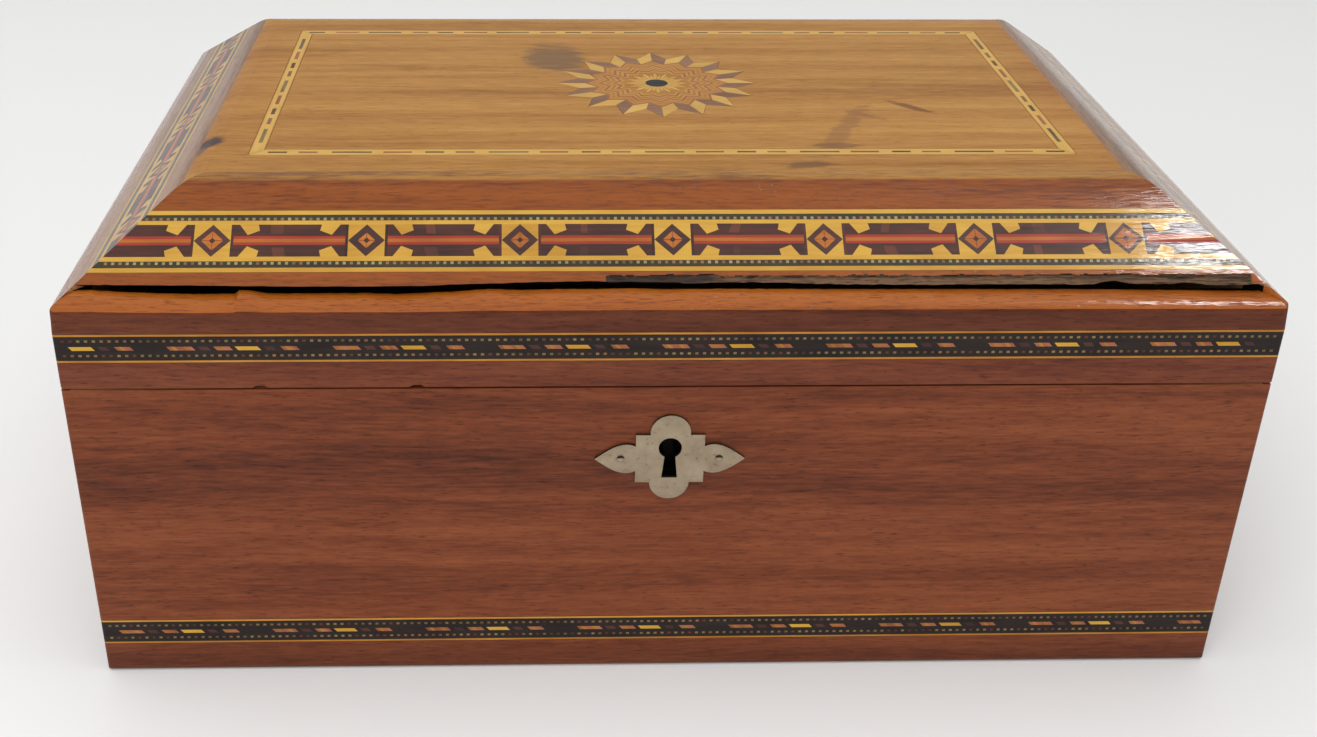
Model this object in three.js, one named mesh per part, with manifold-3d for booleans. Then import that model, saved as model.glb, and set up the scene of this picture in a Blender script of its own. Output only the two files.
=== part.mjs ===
// A wooden cigar humidor with a bevelled, inlaid lid that opens on two hinges at the back.
// Millimetres. +X is to the right, +Y to the back, +Z up. The origin is the middle of the underside.
import * as THREE from "three";
import { mergeVertices } from "three/addons/utils/BufferGeometryUtils.js";
import Module from "manifold-3d";

// Overall box
const WIDTH = 305;
const DEPTH = 203;
const BASE_HEIGHT = 88.8;
const LID_HEIGHT = 44;
const SEAM_GAP = 0.5;
const WALL = 9;
const BOTTOM_THICKNESS = 6;
const BOTTOM_ROUND = 1.5;

// Lid: rails all round, bevelled mouldings on the rails, a flat panel between the mouldings
const SHOULDER_RISE = 21.7;
const SHOULDER_ROUND = 3;
const BEVEL_SLOPE = 0.74;
const EASE_LENGTH = 8.2;
const JOINT_RISE = 24.6;
const PANEL_THICKNESS = 9;

// The glue line between the front rail and its moulding has opened all along the front
const CRACK_HEIGHT = 1.6;
const CRACK_LIP_INSET = 6.1;

// Flush inlay
const INLAY_DEPTH = 1;
const SIDE_BAND_WIDTH = 8;
const BASE_BAND_RISE = 9.4;
const LID_BAND_RISE = 7.2;
const BEVEL_BAND_INSET = 8.3;
const BEVEL_BAND_SPREAD = 14.15;
const STRING_INSET_ENDS = 43.2;
const STRING_INSET_LONG = 46;
const STRING_WIDTH = 3.8;
const STAR_POINTS = 16;
const STAR_TIP_RADIUS = 29.3;
const STAR_VALLEY_RADIUS = 23.1;
const STAR_OFFSET_X = 1.8;
const STAR_OFFSET_Y = 2.8;

// Keyhole, its plate and the lock
const KEYHOLE_DROP = 17.4;
const KEYHOLE_RADIUS = 3;
const KEYHOLE_NECK = 2.8;
const KEYHOLE_FOOT = 4.1;
const KEYHOLE_LENGTH = 8.9;
const KEY_DEPTH_IN_LOCK = 4;
const PLATE_THICKNESS = 0.8;
const PLATE_SPAN = 38.8;
const PLATE_BLOCK_WIDTH = 17.7;
const PLATE_BLOCK_HEIGHT = 14.2;
const PLATE_DROP = 3.2;
const LOBE_RADIUS = 5.15;
const LOBE_RISE_ABOVE = 0.6;
const LOBE_RISE_BELOW = -0.1;
const LEAF_ROOT_HEIGHT = 7.4;
const LEAF_BULGE = 1.9;
const LEAF_TAPER = 1;
const PIN_SPACING = 25.4;
const PIN_HEAD_RADIUS = 1.05;
const PIN_SHANK_RADIUS = 0.5;
const PIN_HEAD_RISE = 0.6;
const PIN_END_GAP = 0.6;
const LOCK_WIDTH = 42;
const LOCK_COVER = 3;
const LOCK_BELOW_KEYHOLE = 3.5;
const STRIKE_THICKNESS = 1.2;

// Hinges
const HINGE_END_INSET = 52.5;
const HINGE_LENGTH = 38;
const HINGE_INSET = 2.4;
const BARREL_RADIUS = 2.2;
const HINGE_PIN_RADIUS = 0.9;
const HINGE_LEAF_THICKNESS = 1.2;
const HINGE_LEAF_LIP = 0.8;
const BACK_CHAMFER_DEGREES = 50;
const SCREW_SPACING = 24;
const SCREW_HEAD_RADIUS = 1.7;
const SCREW_HEAD_HEIGHT = 0.9;
const SCREW_SHANK_RADIUS = 0.8;
const SCREW_LENGTH = 7;

// Clearances
const MITRE_GAP = 0.1;
const PANEL_GAP = 0.15;
const INLAY_GAP = 0.12;
const METAL_GAP = 0.15;
const TURNING_GAP = 0.3;
const PIN_PLAY = 0.09;
const CUT_OVERRUN = 3;

const ROUND_STEPS = 5;
const EASE_STEPS = 5;
const CIRCLE_STEPS = 16;
const ARC_STEPS = 12;

// Heights and insets that follow from the sizes above
const LID_BOTTOM = BASE_HEIGHT + SEAM_GAP;
const LID_TOP = LID_BOTTOM + LID_HEIGHT;
const SHOULDER = LID_BOTTOM + SHOULDER_RISE;
const JOINT = LID_BOTTOM + JOINT_RISE;
const SEAM = BASE_HEIGHT + SEAM_GAP / 2;
const EASE_RISE = (BEVEL_SLOPE * EASE_LENGTH) / 2;
const EASE_START = (LID_TOP - SHOULDER - EASE_RISE) / BEVEL_SLOPE;
const BEVEL_END = EASE_START + EASE_LENGTH;
const BEVEL_ANGLE = Math.atan(BEVEL_SLOPE);
const HINGE_Y = DEPTH / 2 - HINGE_INSET;
const KEYHOLE_Z = BASE_HEIGHT - KEYHOLE_DROP;
const LOCK_HEIGHT = KEYHOLE_DROP + KEYHOLE_LENGTH + LOCK_BELOW_KEYHOLE;

const SIDES = ["front", "right", "back", "left"];

const wasm = await Module();
wasm.setup();

const WOOD = { color: 0x7d4630, roughness: 0.35, metalness: 0 };
const LID_WOOD = { color: 0xb07a44, roughness: 0.3, metalness: 0 };
const BEVEL_WOOD = { color: 0x95553a, roughness: 0.3, metalness: 0 };
const PLAIN_WOOD = { color: 0xa9835a, roughness: 0.7, metalness: 0 };
const BANDING = { color: 0x4a3a2c, roughness: 0.35, metalness: 0 };
const BRIGHT_BANDING = { color: 0xc79a45, roughness: 0.35, metalness: 0 };
const NICKEL = { color: 0x9b9482, roughness: 0.45, metalness: 0.8 };
const STEEL = { color: 0x6f6c66, roughness: 0.5, metalness: 0.8 };
const BRASS = { color: 0xa88a4a, roughness: 0.4, metalness: 0.85 };

const group = new THREE.Group();

// Adds one named piece to the model.
function add(name, geometry, look) {
  const flat = geometry.index ? geometry.toNonIndexed() : geometry;
  flat.computeVertexNormals();
  const mesh = new THREE.Mesh(flat, new THREE.MeshStandardMaterial(look));
  mesh.name = name;
  group.add(mesh);
}

// Turns a closed geometry into a solid that can be cut.
function solid(geometry) {
  const bare = geometry.clone();
  bare.deleteAttribute("normal");
  bare.deleteAttribute("uv");
  const merged = mergeVertices(bare, 1e-4);
  return new wasm.Manifold(
    new wasm.Mesh({
      numProp: 3,
      vertProperties: new Float32Array(merged.attributes.position.array),
      triVerts: new Uint32Array(merged.index.array),
    }),
  );
}

// Turns a cut solid back into a geometry.
function geometryOf(body) {
  const mesh = body.getMesh();
  const geometry = new THREE.BufferGeometry();
  const position = new THREE.BufferAttribute(mesh.vertProperties, mesh.numProp);
  geometry.setAttribute("position", position);
  geometry.setIndex(new THREE.BufferAttribute(mesh.triVerts, 1));
  return geometry;
}

// Cuts each tool away from a geometry.
function cut(geometry, tools) {
  const body = tools.reduce((left, tool) => left.subtract(solid(tool)), solid(geometry));
  return geometryOf(body);
}

// Joins geometries that touch or overlap.
function join(geometries) {
  const bodies = geometries.map(solid);
  return geometryOf(bodies.reduce((left, right) => left.add(right)));
}

// A block between two corners.
function block(x0, x1, y0, y1, z0, z1) {
  const geometry = new THREE.BoxGeometry(x1 - x0, y1 - y0, z1 - z0);
  return geometry.translate((x0 + x1) / 2, (y0 + y1) / 2, (z0 + z1) / 2);
}

// A round bar along X.
function barAlongX(radius, x0, x1, y, z) {
  const geometry = new THREE.CylinderGeometry(radius, radius, x1 - x0, CIRCLE_STEPS);
  return geometry.rotateZ(Math.PI / 2).translate((x0 + x1) / 2, y, z);
}

// A flat outline in x and z, given a thickness from one y to another.
function plateFacingFront(shape, y0, y1) {
  const options = { depth: y1 - y0, bevelEnabled: false, curveSegments: ARC_STEPS };
  return new THREE.ExtrudeGeometry(shape, options).rotateX(Math.PI / 2).translate(0, y1, 0);
}

// One side of a mitred frame. The section holds points (inset from the box's face, height).
// insets moves the frame in from the box's faces: its ends first, then its long sides.
function frameMember(section, side, insetEnds = 0, insetSides = 0) {
  const turn = SIDES.indexOf(side);
  const halfWidth = WIDTH / 2 - insetEnds;
  const halfDepth = DEPTH / 2 - insetSides;
  const isLong = turn % 2 === 0;
  const along = new THREE.Vector3([1, 0, -1, 0][turn], [0, 1, 0, -1][turn], 0);
  const inward = new THREE.Vector3(-along.y, along.x, 0);
  const halfAlong = isLong ? halfWidth : halfDepth;
  const halfAcross = isLong ? halfDepth : halfWidth;
  let contour = section.map(([inset, z]) => new THREE.Vector2(inset, z));
  if (THREE.ShapeUtils.isClockWise(contour)) contour = contour.reverse();
  const vertex = (point, end) =>
    new THREE.Vector3(0, 0, point.y)
      .addScaledVector(along, end * (halfAlong - point.x - MITRE_GAP))
      .addScaledVector(inward, point.x - halfAcross);
  const vertices = [];
  const addTriangle = (...corners) => corners.forEach((corner) => vertices.push(...corner));
  for (const [a, b, c] of THREE.ShapeUtils.triangulateShape(contour, [])) {
    addTriangle(vertex(contour[a], 1), vertex(contour[b], 1), vertex(contour[c], 1));
    addTriangle(vertex(contour[c], -1), vertex(contour[b], -1), vertex(contour[a], -1));
  }
  contour.forEach((point, i) => {
    const next = contour[(i + 1) % contour.length];
    addTriangle(vertex(point, -1), vertex(next, -1), vertex(next, 1));
    addTriangle(vertex(point, -1), vertex(next, 1), vertex(point, 1));
  });
  const geometry = new THREE.BufferGeometry();
  geometry.setAttribute("position", new THREE.Float32BufferAttribute(vertices, 3));
  return mergeVertices(geometry, 1e-4);
}

// Height of the lid's upper surface at an inset from the box's face.
function lidSurface(inset) {
  const eased = Math.min(Math.max(inset - EASE_START, 0), EASE_LENGTH);
  const straight = Math.min(inset, EASE_START);
  return SHOULDER + BEVEL_SLOPE * (straight + eased - (eased * eased) / (2 * EASE_LENGTH));
}

// Points of a round edge from a vertical face to a line that rises inwards at a slope.
function shoulderArc(cornerZ, slope) {
  const sweep = Math.PI / 2 - Math.atan(slope);
  const centreZ = cornerZ - SHOULDER_ROUND * Math.tan(sweep / 2);
  return Array.from({ length: ROUND_STEPS + 1 }, (_, i) => {
    const angle = (sweep * i) / ROUND_STEPS;
    const inset = SHOULDER_ROUND * (1 - Math.cos(angle));
    return [inset, centreZ + SHOULDER_ROUND * Math.sin(angle)];
  });
}

// Points of the small round along the box's lower edge, from the underside up to the face.
function footArc() {
  return Array.from({ length: ROUND_STEPS + 1 }, (_, i) => {
    const angle = ((Math.PI / 2) * i) / ROUND_STEPS;
    const inset = BOTTOM_ROUND * (1 - Math.sin(angle));
    return [inset, BOTTOM_ROUND * (1 - Math.cos(angle))];
  });
}

// The groove for a band let into a vertical face, as four section points from below.
function faceGroove(low) {
  const high = low + SIDE_BAND_WIDTH;
  return [[0, low], [INLAY_DEPTH, low], [INLAY_DEPTH, high], [0, high]];
}

// The band that fills that groove, flush with the face.
function faceBand(low) {
  const z0 = low + INLAY_GAP;
  const z1 = low + SIDE_BAND_WIDTH - INLAY_GAP;
  const back = INLAY_DEPTH - INLAY_GAP;
  return [[0, z0], [back, z0], [back, z1], [0, z1]];
}

// A point on the bevel at an inset, sunk below the surface by a depth.
function bevelPoint(inset, depth) {
  const z = lidSurface(inset) - depth * Math.cos(BEVEL_ANGLE);
  return [inset + depth * Math.sin(BEVEL_ANGLE), z];
}

function baseWallSection() {
  return [
    ...footArc(),
    ...faceGroove(BASE_BAND_RISE),
    [0, BASE_HEIGHT],
    [WALL, BASE_HEIGHT],
    [WALL, 0],
  ];
}

function lidRailSection(side) {
  const isFront = side === "front";
  const closedLip = (JOINT - SHOULDER) / BEVEL_SLOPE;
  const lip = isFront ? CRACK_LIP_INSET : closedLip;
  const slope = (JOINT - SHOULDER) / lip;
  return [
    [0, LID_BOTTOM],
    ...faceGroove(LID_BOTTOM + LID_BAND_RISE),
    ...shoulderArc(SHOULDER, slope),
    [lip, JOINT],
    [WALL, JOINT],
    [WALL, LID_BOTTOM],
  ];
}

function bevelMouldingSection(side) {
  const foot = side === "front" ? JOINT + CRACK_HEIGHT : JOINT;
  const toe = (foot - SHOULDER) / BEVEL_SLOPE;
  const inner = BEVEL_END - PANEL_GAP;
  const panelFoot = LID_TOP - PANEL_THICKNESS;
  const heel = inner - (panelFoot - foot) / BEVEL_SLOPE;
  const bandEnd = BEVEL_BAND_INSET + BEVEL_BAND_SPREAD;
  const ease = Array.from({ length: EASE_STEPS + 1 }, (_, i) => {
    const inset = EASE_START + ((inner - EASE_START) * i) / EASE_STEPS;
    return [inset, lidSurface(inset)];
  });
  return [
    [toe, foot],
    bevelPoint(BEVEL_BAND_INSET, 0),
    bevelPoint(BEVEL_BAND_INSET, INLAY_DEPTH),
    bevelPoint(bandEnd, INLAY_DEPTH),
    bevelPoint(bandEnd, 0),
    ...ease,
    [inner, panelFoot],
    [heel, foot],
  ];
}

function bevelBandSection() {
  const along = INLAY_GAP * Math.cos(BEVEL_ANGLE);
  const start = BEVEL_BAND_INSET + along;
  const end = BEVEL_BAND_INSET + BEVEL_BAND_SPREAD - along;
  const back = INLAY_DEPTH - INLAY_GAP;
  return [bevelPoint(start, 0), bevelPoint(end, 0), bevelPoint(end, back), bevelPoint(start, back)];
}

// A string's section on the flat top, and the groove it lies in.
function stringSection(gap, over) {
  const z0 = LID_TOP - INLAY_DEPTH + gap;
  const inset = INLAY_GAP - gap;
  const [near, far] = [-inset, STRING_WIDTH + inset];
  return [[near, z0], [far, z0], [far, LID_TOP + over], [near, LID_TOP + over]];
}

// The star's outline. grow widens it for the recess that it lies in.
function starShape(grow) {
  const shape = new THREE.Shape();
  for (let i = 0; i < STAR_POINTS * 2; i += 1) {
    const isTip = i % 2 === 0;
    const radius = isTip ? STAR_TIP_RADIUS + 2 * grow : STAR_VALLEY_RADIUS + grow;
    const angle = (Math.PI * i) / STAR_POINTS;
    const point = [STAR_OFFSET_X + radius * Math.cos(angle), STAR_OFFSET_Y + radius * Math.sin(angle)];
    if (i === 0) shape.moveTo(...point);
    else shape.lineTo(...point);
  }
  return shape;
}

function starSlab(grow, z0, z1) {
  const options = { depth: z1 - z0, bevelEnabled: false };
  return new THREE.ExtrudeGeometry(starShape(grow), options).translate(0, 0, z0);
}

// The keyhole: a round hole with a slot that widens downwards.
function keyholeShape() {
  const half = KEYHOLE_NECK / 2;
  const start = Math.asin(half / KEYHOLE_RADIUS);
  const shape = new THREE.Shape();
  const turn = -Math.PI / 2;
  shape.absarc(0, KEYHOLE_Z, KEYHOLE_RADIUS, turn + start, turn - start + 2 * Math.PI, false);
  shape.lineTo(-KEYHOLE_FOOT / 2, KEYHOLE_Z - KEYHOLE_LENGTH);
  shape.lineTo(KEYHOLE_FOOT / 2, KEYHOLE_Z - KEYHOLE_LENGTH);
  return shape;
}

// The keyhole plate: a block with a round lobe above and below and a pointed leaf at each end.
function plateShape() {
  const z = KEYHOLE_Z - PLATE_DROP;
  const halfWidth = PLATE_BLOCK_WIDTH / 2;
  const halfHeight = PLATE_BLOCK_HEIGHT / 2;
  const root = LEAF_ROOT_HEIGHT / 2;
  const tip = PLATE_SPAN / 2;
  const dipAbove = Math.asin(LOBE_RISE_ABOVE / LOBE_RADIUS);
  const dipBelow = Math.asin(LOBE_RISE_BELOW / LOBE_RADIUS);
  const lobeAbove = z + halfHeight + LOBE_RISE_ABOVE;
  const lobeBelow = z - halfHeight - LOBE_RISE_BELOW;
  const third = (tip - halfWidth) / 3;
  const full = root + LEAF_BULGE;
  const lean = root - LEAF_TAPER;
  const leafAbove = (sign) => [sign * (halfWidth + third), z + full, sign * (tip - third), z + lean];
  const leafBelow = (sign) => [sign * (tip - third), z - lean, sign * (halfWidth + third), z - full];
  const shape = new THREE.Shape();
  shape.moveTo(halfWidth, z + halfHeight);
  shape.lineTo(LOBE_RADIUS * Math.cos(dipAbove), z + halfHeight);
  shape.absarc(0, lobeAbove, LOBE_RADIUS, -dipAbove, Math.PI + dipAbove, false);
  shape.lineTo(-halfWidth, z + halfHeight);
  shape.lineTo(-halfWidth, z + root);
  shape.bezierCurveTo(...leafAbove(-1), -tip, z);
  shape.bezierCurveTo(...leafBelow(-1), -halfWidth, z - root);
  shape.lineTo(-halfWidth, z - halfHeight);
  shape.absarc(0, lobeBelow, LOBE_RADIUS, Math.PI - dipBelow, 2 * Math.PI + dipBelow, false);
  shape.lineTo(halfWidth, z - halfHeight);
  shape.lineTo(halfWidth, z - root);
  const [x1, z1, x2, z2] = leafBelow(1);
  shape.bezierCurveTo(x2, z2, x1, z1, tip, z);
  const [x3, z3, x4, z4] = leafAbove(1);
  shape.bezierCurveTo(x4, z4, x3, z3, halfWidth, z + root);
  return shape;
}

// A bar that points to the front or back, for pin holes.
function barAlongY(radius, x, z, y0, y1) {
  const geometry = new THREE.CylinderGeometry(radius, radius, y1 - y0, CIRCLE_STEPS);
  return geometry.translate(x, (y0 + y1) / 2, z);
}

// A dome-headed pin driven through the plate into the front wall.
function platePin(x) {
  const z = KEYHOLE_Z - PLATE_DROP;
  const point = (radius, height) => new THREE.Vector2(radius, height);
  const end = PIN_END_GAP - LOCK_COVER;
  const profile = [point(0, end), point(PIN_SHANK_RADIUS, end), point(PIN_SHANK_RADIUS, PLATE_THICKNESS)];
  for (let i = 0; i <= ROUND_STEPS; i += 1) {
    const angle = ((Math.PI / 2) * i) / ROUND_STEPS;
    const radius = i === ROUND_STEPS ? 0 : PIN_HEAD_RADIUS * Math.cos(angle);
    profile.push(point(radius, PLATE_THICKNESS + PIN_HEAD_RISE * Math.sin(angle)));
  }
  const geometry = new THREE.LatheGeometry(profile, CIRCLE_STEPS);
  return geometry.rotateX(Math.PI).translate(x, -DEPTH / 2, z);
}

// The groove along the back that lets the lid swing past upright, a wedge with its edge on the hinge line.
function backChamfer() {
  const reach = HINGE_INSET + CUT_OVERRUN;
  const rise = reach * Math.tan(THREE.MathUtils.degToRad(BACK_CHAMFER_DEGREES));
  const shape = new THREE.Shape();
  shape.moveTo(0, 0);
  shape.lineTo(reach, -rise);
  shape.lineTo(reach, rise);
  const length = WIDTH + 2 * CUT_OVERRUN;
  const geometry = new THREE.ExtrudeGeometry(shape, { depth: length, bevelEnabled: false });
  return geometry.rotateY(Math.PI / 2).rotateX(Math.PI / 2).translate(-length / 2, HINGE_Y, SEAM);
}

// The stretches of barrel along a hinge: base, lid and base again.
function knuckles(x) {
  const length = (HINGE_LENGTH - 2 * TURNING_GAP) / 3;
  return [0, 1, 2].map((i) => {
    const start = x - HINGE_LENGTH / 2 + i * (length + TURNING_GAP);
    return [start, start + length];
  });
}

// Screw centres on one leaf.
function screwPlaces(x) {
  const y0 = HINGE_Y - BARREL_RADIUS - TURNING_GAP;
  const y1 = DEPTH / 2 - WALL + HINGE_LEAF_LIP;
  return [-1, 1].map((end) => [x + (end * SCREW_SPACING) / 2, (y0 + y1) / 2]);
}

// A countersunk screw with its head's face at z, pointing down when sign is -1 and up when it is 1.
function screw(x, y, z, sign, gap) {
  const point = (radius, depth) => new THREE.Vector2(radius, depth);
  const over = gap > 0 ? CUT_OVERRUN : 0;
  const profile = [
    point(0, -SCREW_LENGTH - gap),
    point(SCREW_SHANK_RADIUS + gap, 1 - SCREW_LENGTH - gap),
    point(SCREW_SHANK_RADIUS + gap, -SCREW_HEAD_HEIGHT),
    point(SCREW_HEAD_RADIUS + gap, 0),
    point(SCREW_HEAD_RADIUS + gap, over),
    point(0, over),
  ].filter((corner, i, all) => i === 0 || corner.distanceTo(all[i - 1]) > 0);
  const geometry = new THREE.LatheGeometry(profile, CIRCLE_STEPS / 2);
  if (sign > 0) geometry.rotateX(Math.PI / 2).rotateX(Math.PI);
  else geometry.rotateX(Math.PI / 2);
  return geometry.translate(x, y, z);
}

// One leaf of a hinge with its knuckles, bored for the pin and countersunk for its screws.
function hingeLeaf(x, part) {
  const isBase = part === "base";
  const sign = isBase ? -1 : 1;
  const face = isBase ? BASE_HEIGHT : LID_BOTTOM;
  const [z0, z1] = isBase ? [face - HINGE_LEAF_THICKNESS, face] : [face, face + HINGE_LEAF_THICKNESS];
  const own = knuckles(x).filter((_, i) => (i === 1) !== isBase);
  const y0 = DEPTH / 2 - WALL + HINGE_LEAF_LIP;
  const y1 = HINGE_Y - BARREL_RADIUS - TURNING_GAP;
  const pieces = [block(x - HINGE_LENGTH / 2, x + HINGE_LENGTH / 2, y0, y1, z0, z1)];
  for (const [start, end] of own) {
    pieces.push(block(start, end, y0, HINGE_Y, z0, z1));
    pieces.push(barAlongX(BARREL_RADIUS, start, end, HINGE_Y, SEAM));
  }
  const bore = HINGE_PIN_RADIUS + PIN_PLAY;
  const half = HINGE_LENGTH / 2 + CUT_OVERRUN;
  const tools = [barAlongX(bore, x - half, x + half, HINGE_Y, SEAM)];
  for (const [sx, sy] of screwPlaces(x)) tools.push(screw(sx, sy, face, sign, METAL_GAP));
  return cut(join(pieces), tools);
}

// What is cut from the back wall or back rail for one hinge: a seat, room for the barrel, screw holes.
function hingeRecess(x, part) {
  const isBase = part === "base";
  const sign = isBase ? -1 : 1;
  const face = isBase ? BASE_HEIGHT : LID_BOTTOM;
  const half = HINGE_LENGTH / 2 + METAL_GAP;
  const y0 = DEPTH / 2 - WALL + HINGE_LEAF_LIP - METAL_GAP;
  const depth = HINGE_LEAF_THICKNESS + METAL_GAP;
  const [z0, z1] = isBase ? [face - depth, face + CUT_OVERRUN] : [face - CUT_OVERRUN, face + depth];
  const tools = [block(x - half, x + half, y0, HINGE_Y, z0, z1)];
  tools.push(barAlongX(BARREL_RADIUS + TURNING_GAP, x - half, x + half, HINGE_Y, SEAM));
  for (const [sx, sy] of screwPlaces(x)) tools.push(screw(sx, sy, face, sign, METAL_GAP));
  return tools;
}

const HINGE_PLACES = { left: HINGE_END_INSET - WIDTH / 2, right: WIDTH / 2 - HINGE_END_INSET };

// The keyhole cut to a depth behind the front face.
function keyholeTool(depth) {
  return plateFacingFront(keyholeShape(), -DEPTH / 2 - CUT_OVERRUN, -DEPTH / 2 + depth);
}

function lockBlock(gap, over) {
  const half = LOCK_WIDTH / 2 + gap;
  const y0 = LOCK_COVER - DEPTH / 2 - gap;
  return block(-half, half, y0, WALL - DEPTH / 2 + over, BASE_HEIGHT - LOCK_HEIGHT - gap, BASE_HEIGHT + over);
}

function strikeBlock(gap, over) {
  const half = LOCK_WIDTH / 2 + gap;
  const y0 = LOCK_COVER - DEPTH / 2 - gap;
  const z1 = LID_BOTTOM + STRIKE_THICKNESS + gap;
  return block(-half, half, y0, WALL - DEPTH / 2 + over, LID_BOTTOM - over, z1);
}

function addBase() {
  for (const side of SIDES) {
    const tools = [];
    if (side !== "front") tools.push(backChamfer());
    if (side === "back") Object.values(HINGE_PLACES).forEach((x) => tools.push(...hingeRecess(x, "base")));
    if (side === "front") {
      tools.push(lockBlock(METAL_GAP, CUT_OVERRUN), keyholeTool(WALL));
      PIN_PLACES.forEach((x) => tools.push(pinHole(x)));
    }
    add(`base_${side}_wall`, cut(frameMember(baseWallSection(), side), tools), WOOD);
    add(`base_banding_${side}`, frameMember(faceBand(BASE_BAND_RISE), side), BANDING);
  }
  const halfX = WIDTH / 2 - WALL - PANEL_GAP;
  const halfY = DEPTH / 2 - WALL - PANEL_GAP;
  add("base_bottom", block(-halfX, halfX, -halfY, halfY, 0, BOTTOM_THICKNESS), PLAIN_WOOD);
}

function addLid() {
  for (const side of SIDES) {
    const tools = side === "front" ? [strikeBlock(METAL_GAP, CUT_OVERRUN)] : [backChamfer()];
    if (side === "back") Object.values(HINGE_PLACES).forEach((x) => tools.push(...hingeRecess(x, "lid")));
    add(`lid_${side}_rail`, cut(frameMember(lidRailSection(side), side), tools), WOOD);
    add(`lid_banding_${side}`, frameMember(faceBand(LID_BOTTOM + LID_BAND_RISE), side), BANDING);
    add(`lid_${side}_moulding`, frameMember(bevelMouldingSection(side), side), BEVEL_WOOD);
    add(`bevel_banding_${side}`, frameMember(bevelBandSection(), side), BRIGHT_BANDING);
  }
}

// The flat top panel with the string frame and the star let into it.
function addTopPanel() {
  const halfX = WIDTH / 2 - BEVEL_END;
  const halfY = DEPTH / 2 - BEVEL_END;
  const board = block(-halfX, halfX, -halfY, halfY, LID_TOP - PANEL_THICKNESS, LID_TOP);
  const insets = [STRING_INSET_ENDS, STRING_INSET_LONG];
  const grooves = SIDES.map((side) => frameMember(stringSection(0, CUT_OVERRUN), side, ...insets));
  const recess = starSlab(INLAY_GAP, LID_TOP - INLAY_DEPTH, LID_TOP + CUT_OVERRUN);
  add("lid_top_panel", cut(board, [...grooves, recess]), LID_WOOD);
  for (const side of SIDES) {
    const string = frameMember(stringSection(INLAY_GAP, 0), side, ...insets);
    add(`string_inlay_${side}`, string, BRIGHT_BANDING);
  }
  add("star_inlay", starSlab(0, LID_TOP - INLAY_DEPTH + INLAY_GAP, LID_TOP), BRIGHT_BANDING);
}

const PIN_PLACES = [-PIN_SPACING / 2, PIN_SPACING / 2];

function pinHole(x) {
  const y0 = -DEPTH / 2 - CUT_OVERRUN;
  const y1 = -DEPTH / 2 + LOCK_COVER;
  return barAlongY(PIN_SHANK_RADIUS + METAL_GAP, x, KEYHOLE_Z - PLATE_DROP, y0, y1);
}

function addLock() {
  const plate = plateFacingFront(plateShape(), -DEPTH / 2 - PLATE_THICKNESS, -DEPTH / 2);
  add("keyhole_plate", cut(plate, [keyholeTool(0), ...PIN_PLACES.map(pinHole)]), NICKEL);
  add("plate_pin_left", platePin(PIN_PLACES[0]), NICKEL);
  add("plate_pin_right", platePin(PIN_PLACES[1]), NICKEL);
  add("lock_case", cut(lockBlock(0, 0), [keyholeTool(LOCK_COVER + KEY_DEPTH_IN_LOCK)]), STEEL);
  add("strike_plate", strikeBlock(0, 0), STEEL);
}

function addHinges() {
  for (const [name, x] of Object.entries(HINGE_PLACES)) {
    add(`hinge_${name}_base_leaf`, hingeLeaf(x, "base"), BRASS);
    add(`hinge_${name}_lid_leaf`, hingeLeaf(x, "lid"), BRASS);
    const half = HINGE_LENGTH / 2;
    add(`hinge_${name}_pin`, barAlongX(HINGE_PIN_RADIUS, x - half, x + half, HINGE_Y, SEAM), STEEL);
    screwPlaces(x).forEach(([sx, sy], i) => {
      const end = ["left", "right"][i];
      add(`hinge_${name}_base_screw_${end}`, screw(sx, sy, BASE_HEIGHT, -1, 0), BRASS);
      add(`hinge_${name}_lid_screw_${end}`, screw(sx, sy, LID_BOTTOM, 1, 0), BRASS);
    });
  }
}

addBase();
addLid();
addTopPanel();
addLock();
addHinges();

export default group;
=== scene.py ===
"""A bevelled wooden cigar humidor with an inlaid lid on two hinges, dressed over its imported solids.

Lengths in this script are millimetres, and become metres where a mesh is finished.
"""

import logging
import math
import random
from abc import ABC, abstractmethod
from collections.abc import Callable, Iterable, Mapping, Sequence
from dataclasses import dataclass, replace
from enum import Enum

import bmesh
import bpy
from mathutils import Matrix, Vector, noise
from mathutils.geometry import delaunay_2d_cdt

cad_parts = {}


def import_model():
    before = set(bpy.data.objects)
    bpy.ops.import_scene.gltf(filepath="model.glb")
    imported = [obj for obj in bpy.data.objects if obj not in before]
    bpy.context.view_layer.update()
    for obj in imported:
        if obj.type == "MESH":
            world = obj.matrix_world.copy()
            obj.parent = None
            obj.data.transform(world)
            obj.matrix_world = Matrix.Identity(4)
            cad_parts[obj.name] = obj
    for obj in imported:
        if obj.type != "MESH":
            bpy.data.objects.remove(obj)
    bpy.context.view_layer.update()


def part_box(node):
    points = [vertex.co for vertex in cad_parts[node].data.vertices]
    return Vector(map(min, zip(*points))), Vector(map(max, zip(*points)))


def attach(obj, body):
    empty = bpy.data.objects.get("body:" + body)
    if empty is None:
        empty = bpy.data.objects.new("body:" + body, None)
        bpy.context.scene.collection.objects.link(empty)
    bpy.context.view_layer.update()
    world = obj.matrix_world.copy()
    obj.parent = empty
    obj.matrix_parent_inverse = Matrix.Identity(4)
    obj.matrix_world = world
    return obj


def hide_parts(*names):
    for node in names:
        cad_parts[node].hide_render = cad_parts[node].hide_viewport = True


LOG = logging.getLogger("humidor")
MM = 0.001
SEED = 7
THIN_COAT = 0.08
SIDE_COAT = 0.55
FULL_COAT = 1.0
ROUND_SEGMENTS = 2
SHARP_ANGLE = math.radians(30)
EASED_ANGLE = math.radians(35)
MERGE_REACH = 0.004
NEAR = 0.02
NEAR_MITRE = 0.03
FACE_VENEER = 1.6

Point = tuple[float, float]
Place = tuple[float, float, float]
Colour = tuple[int, int, int]
Socket = bpy.types.NodeSocket


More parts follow.
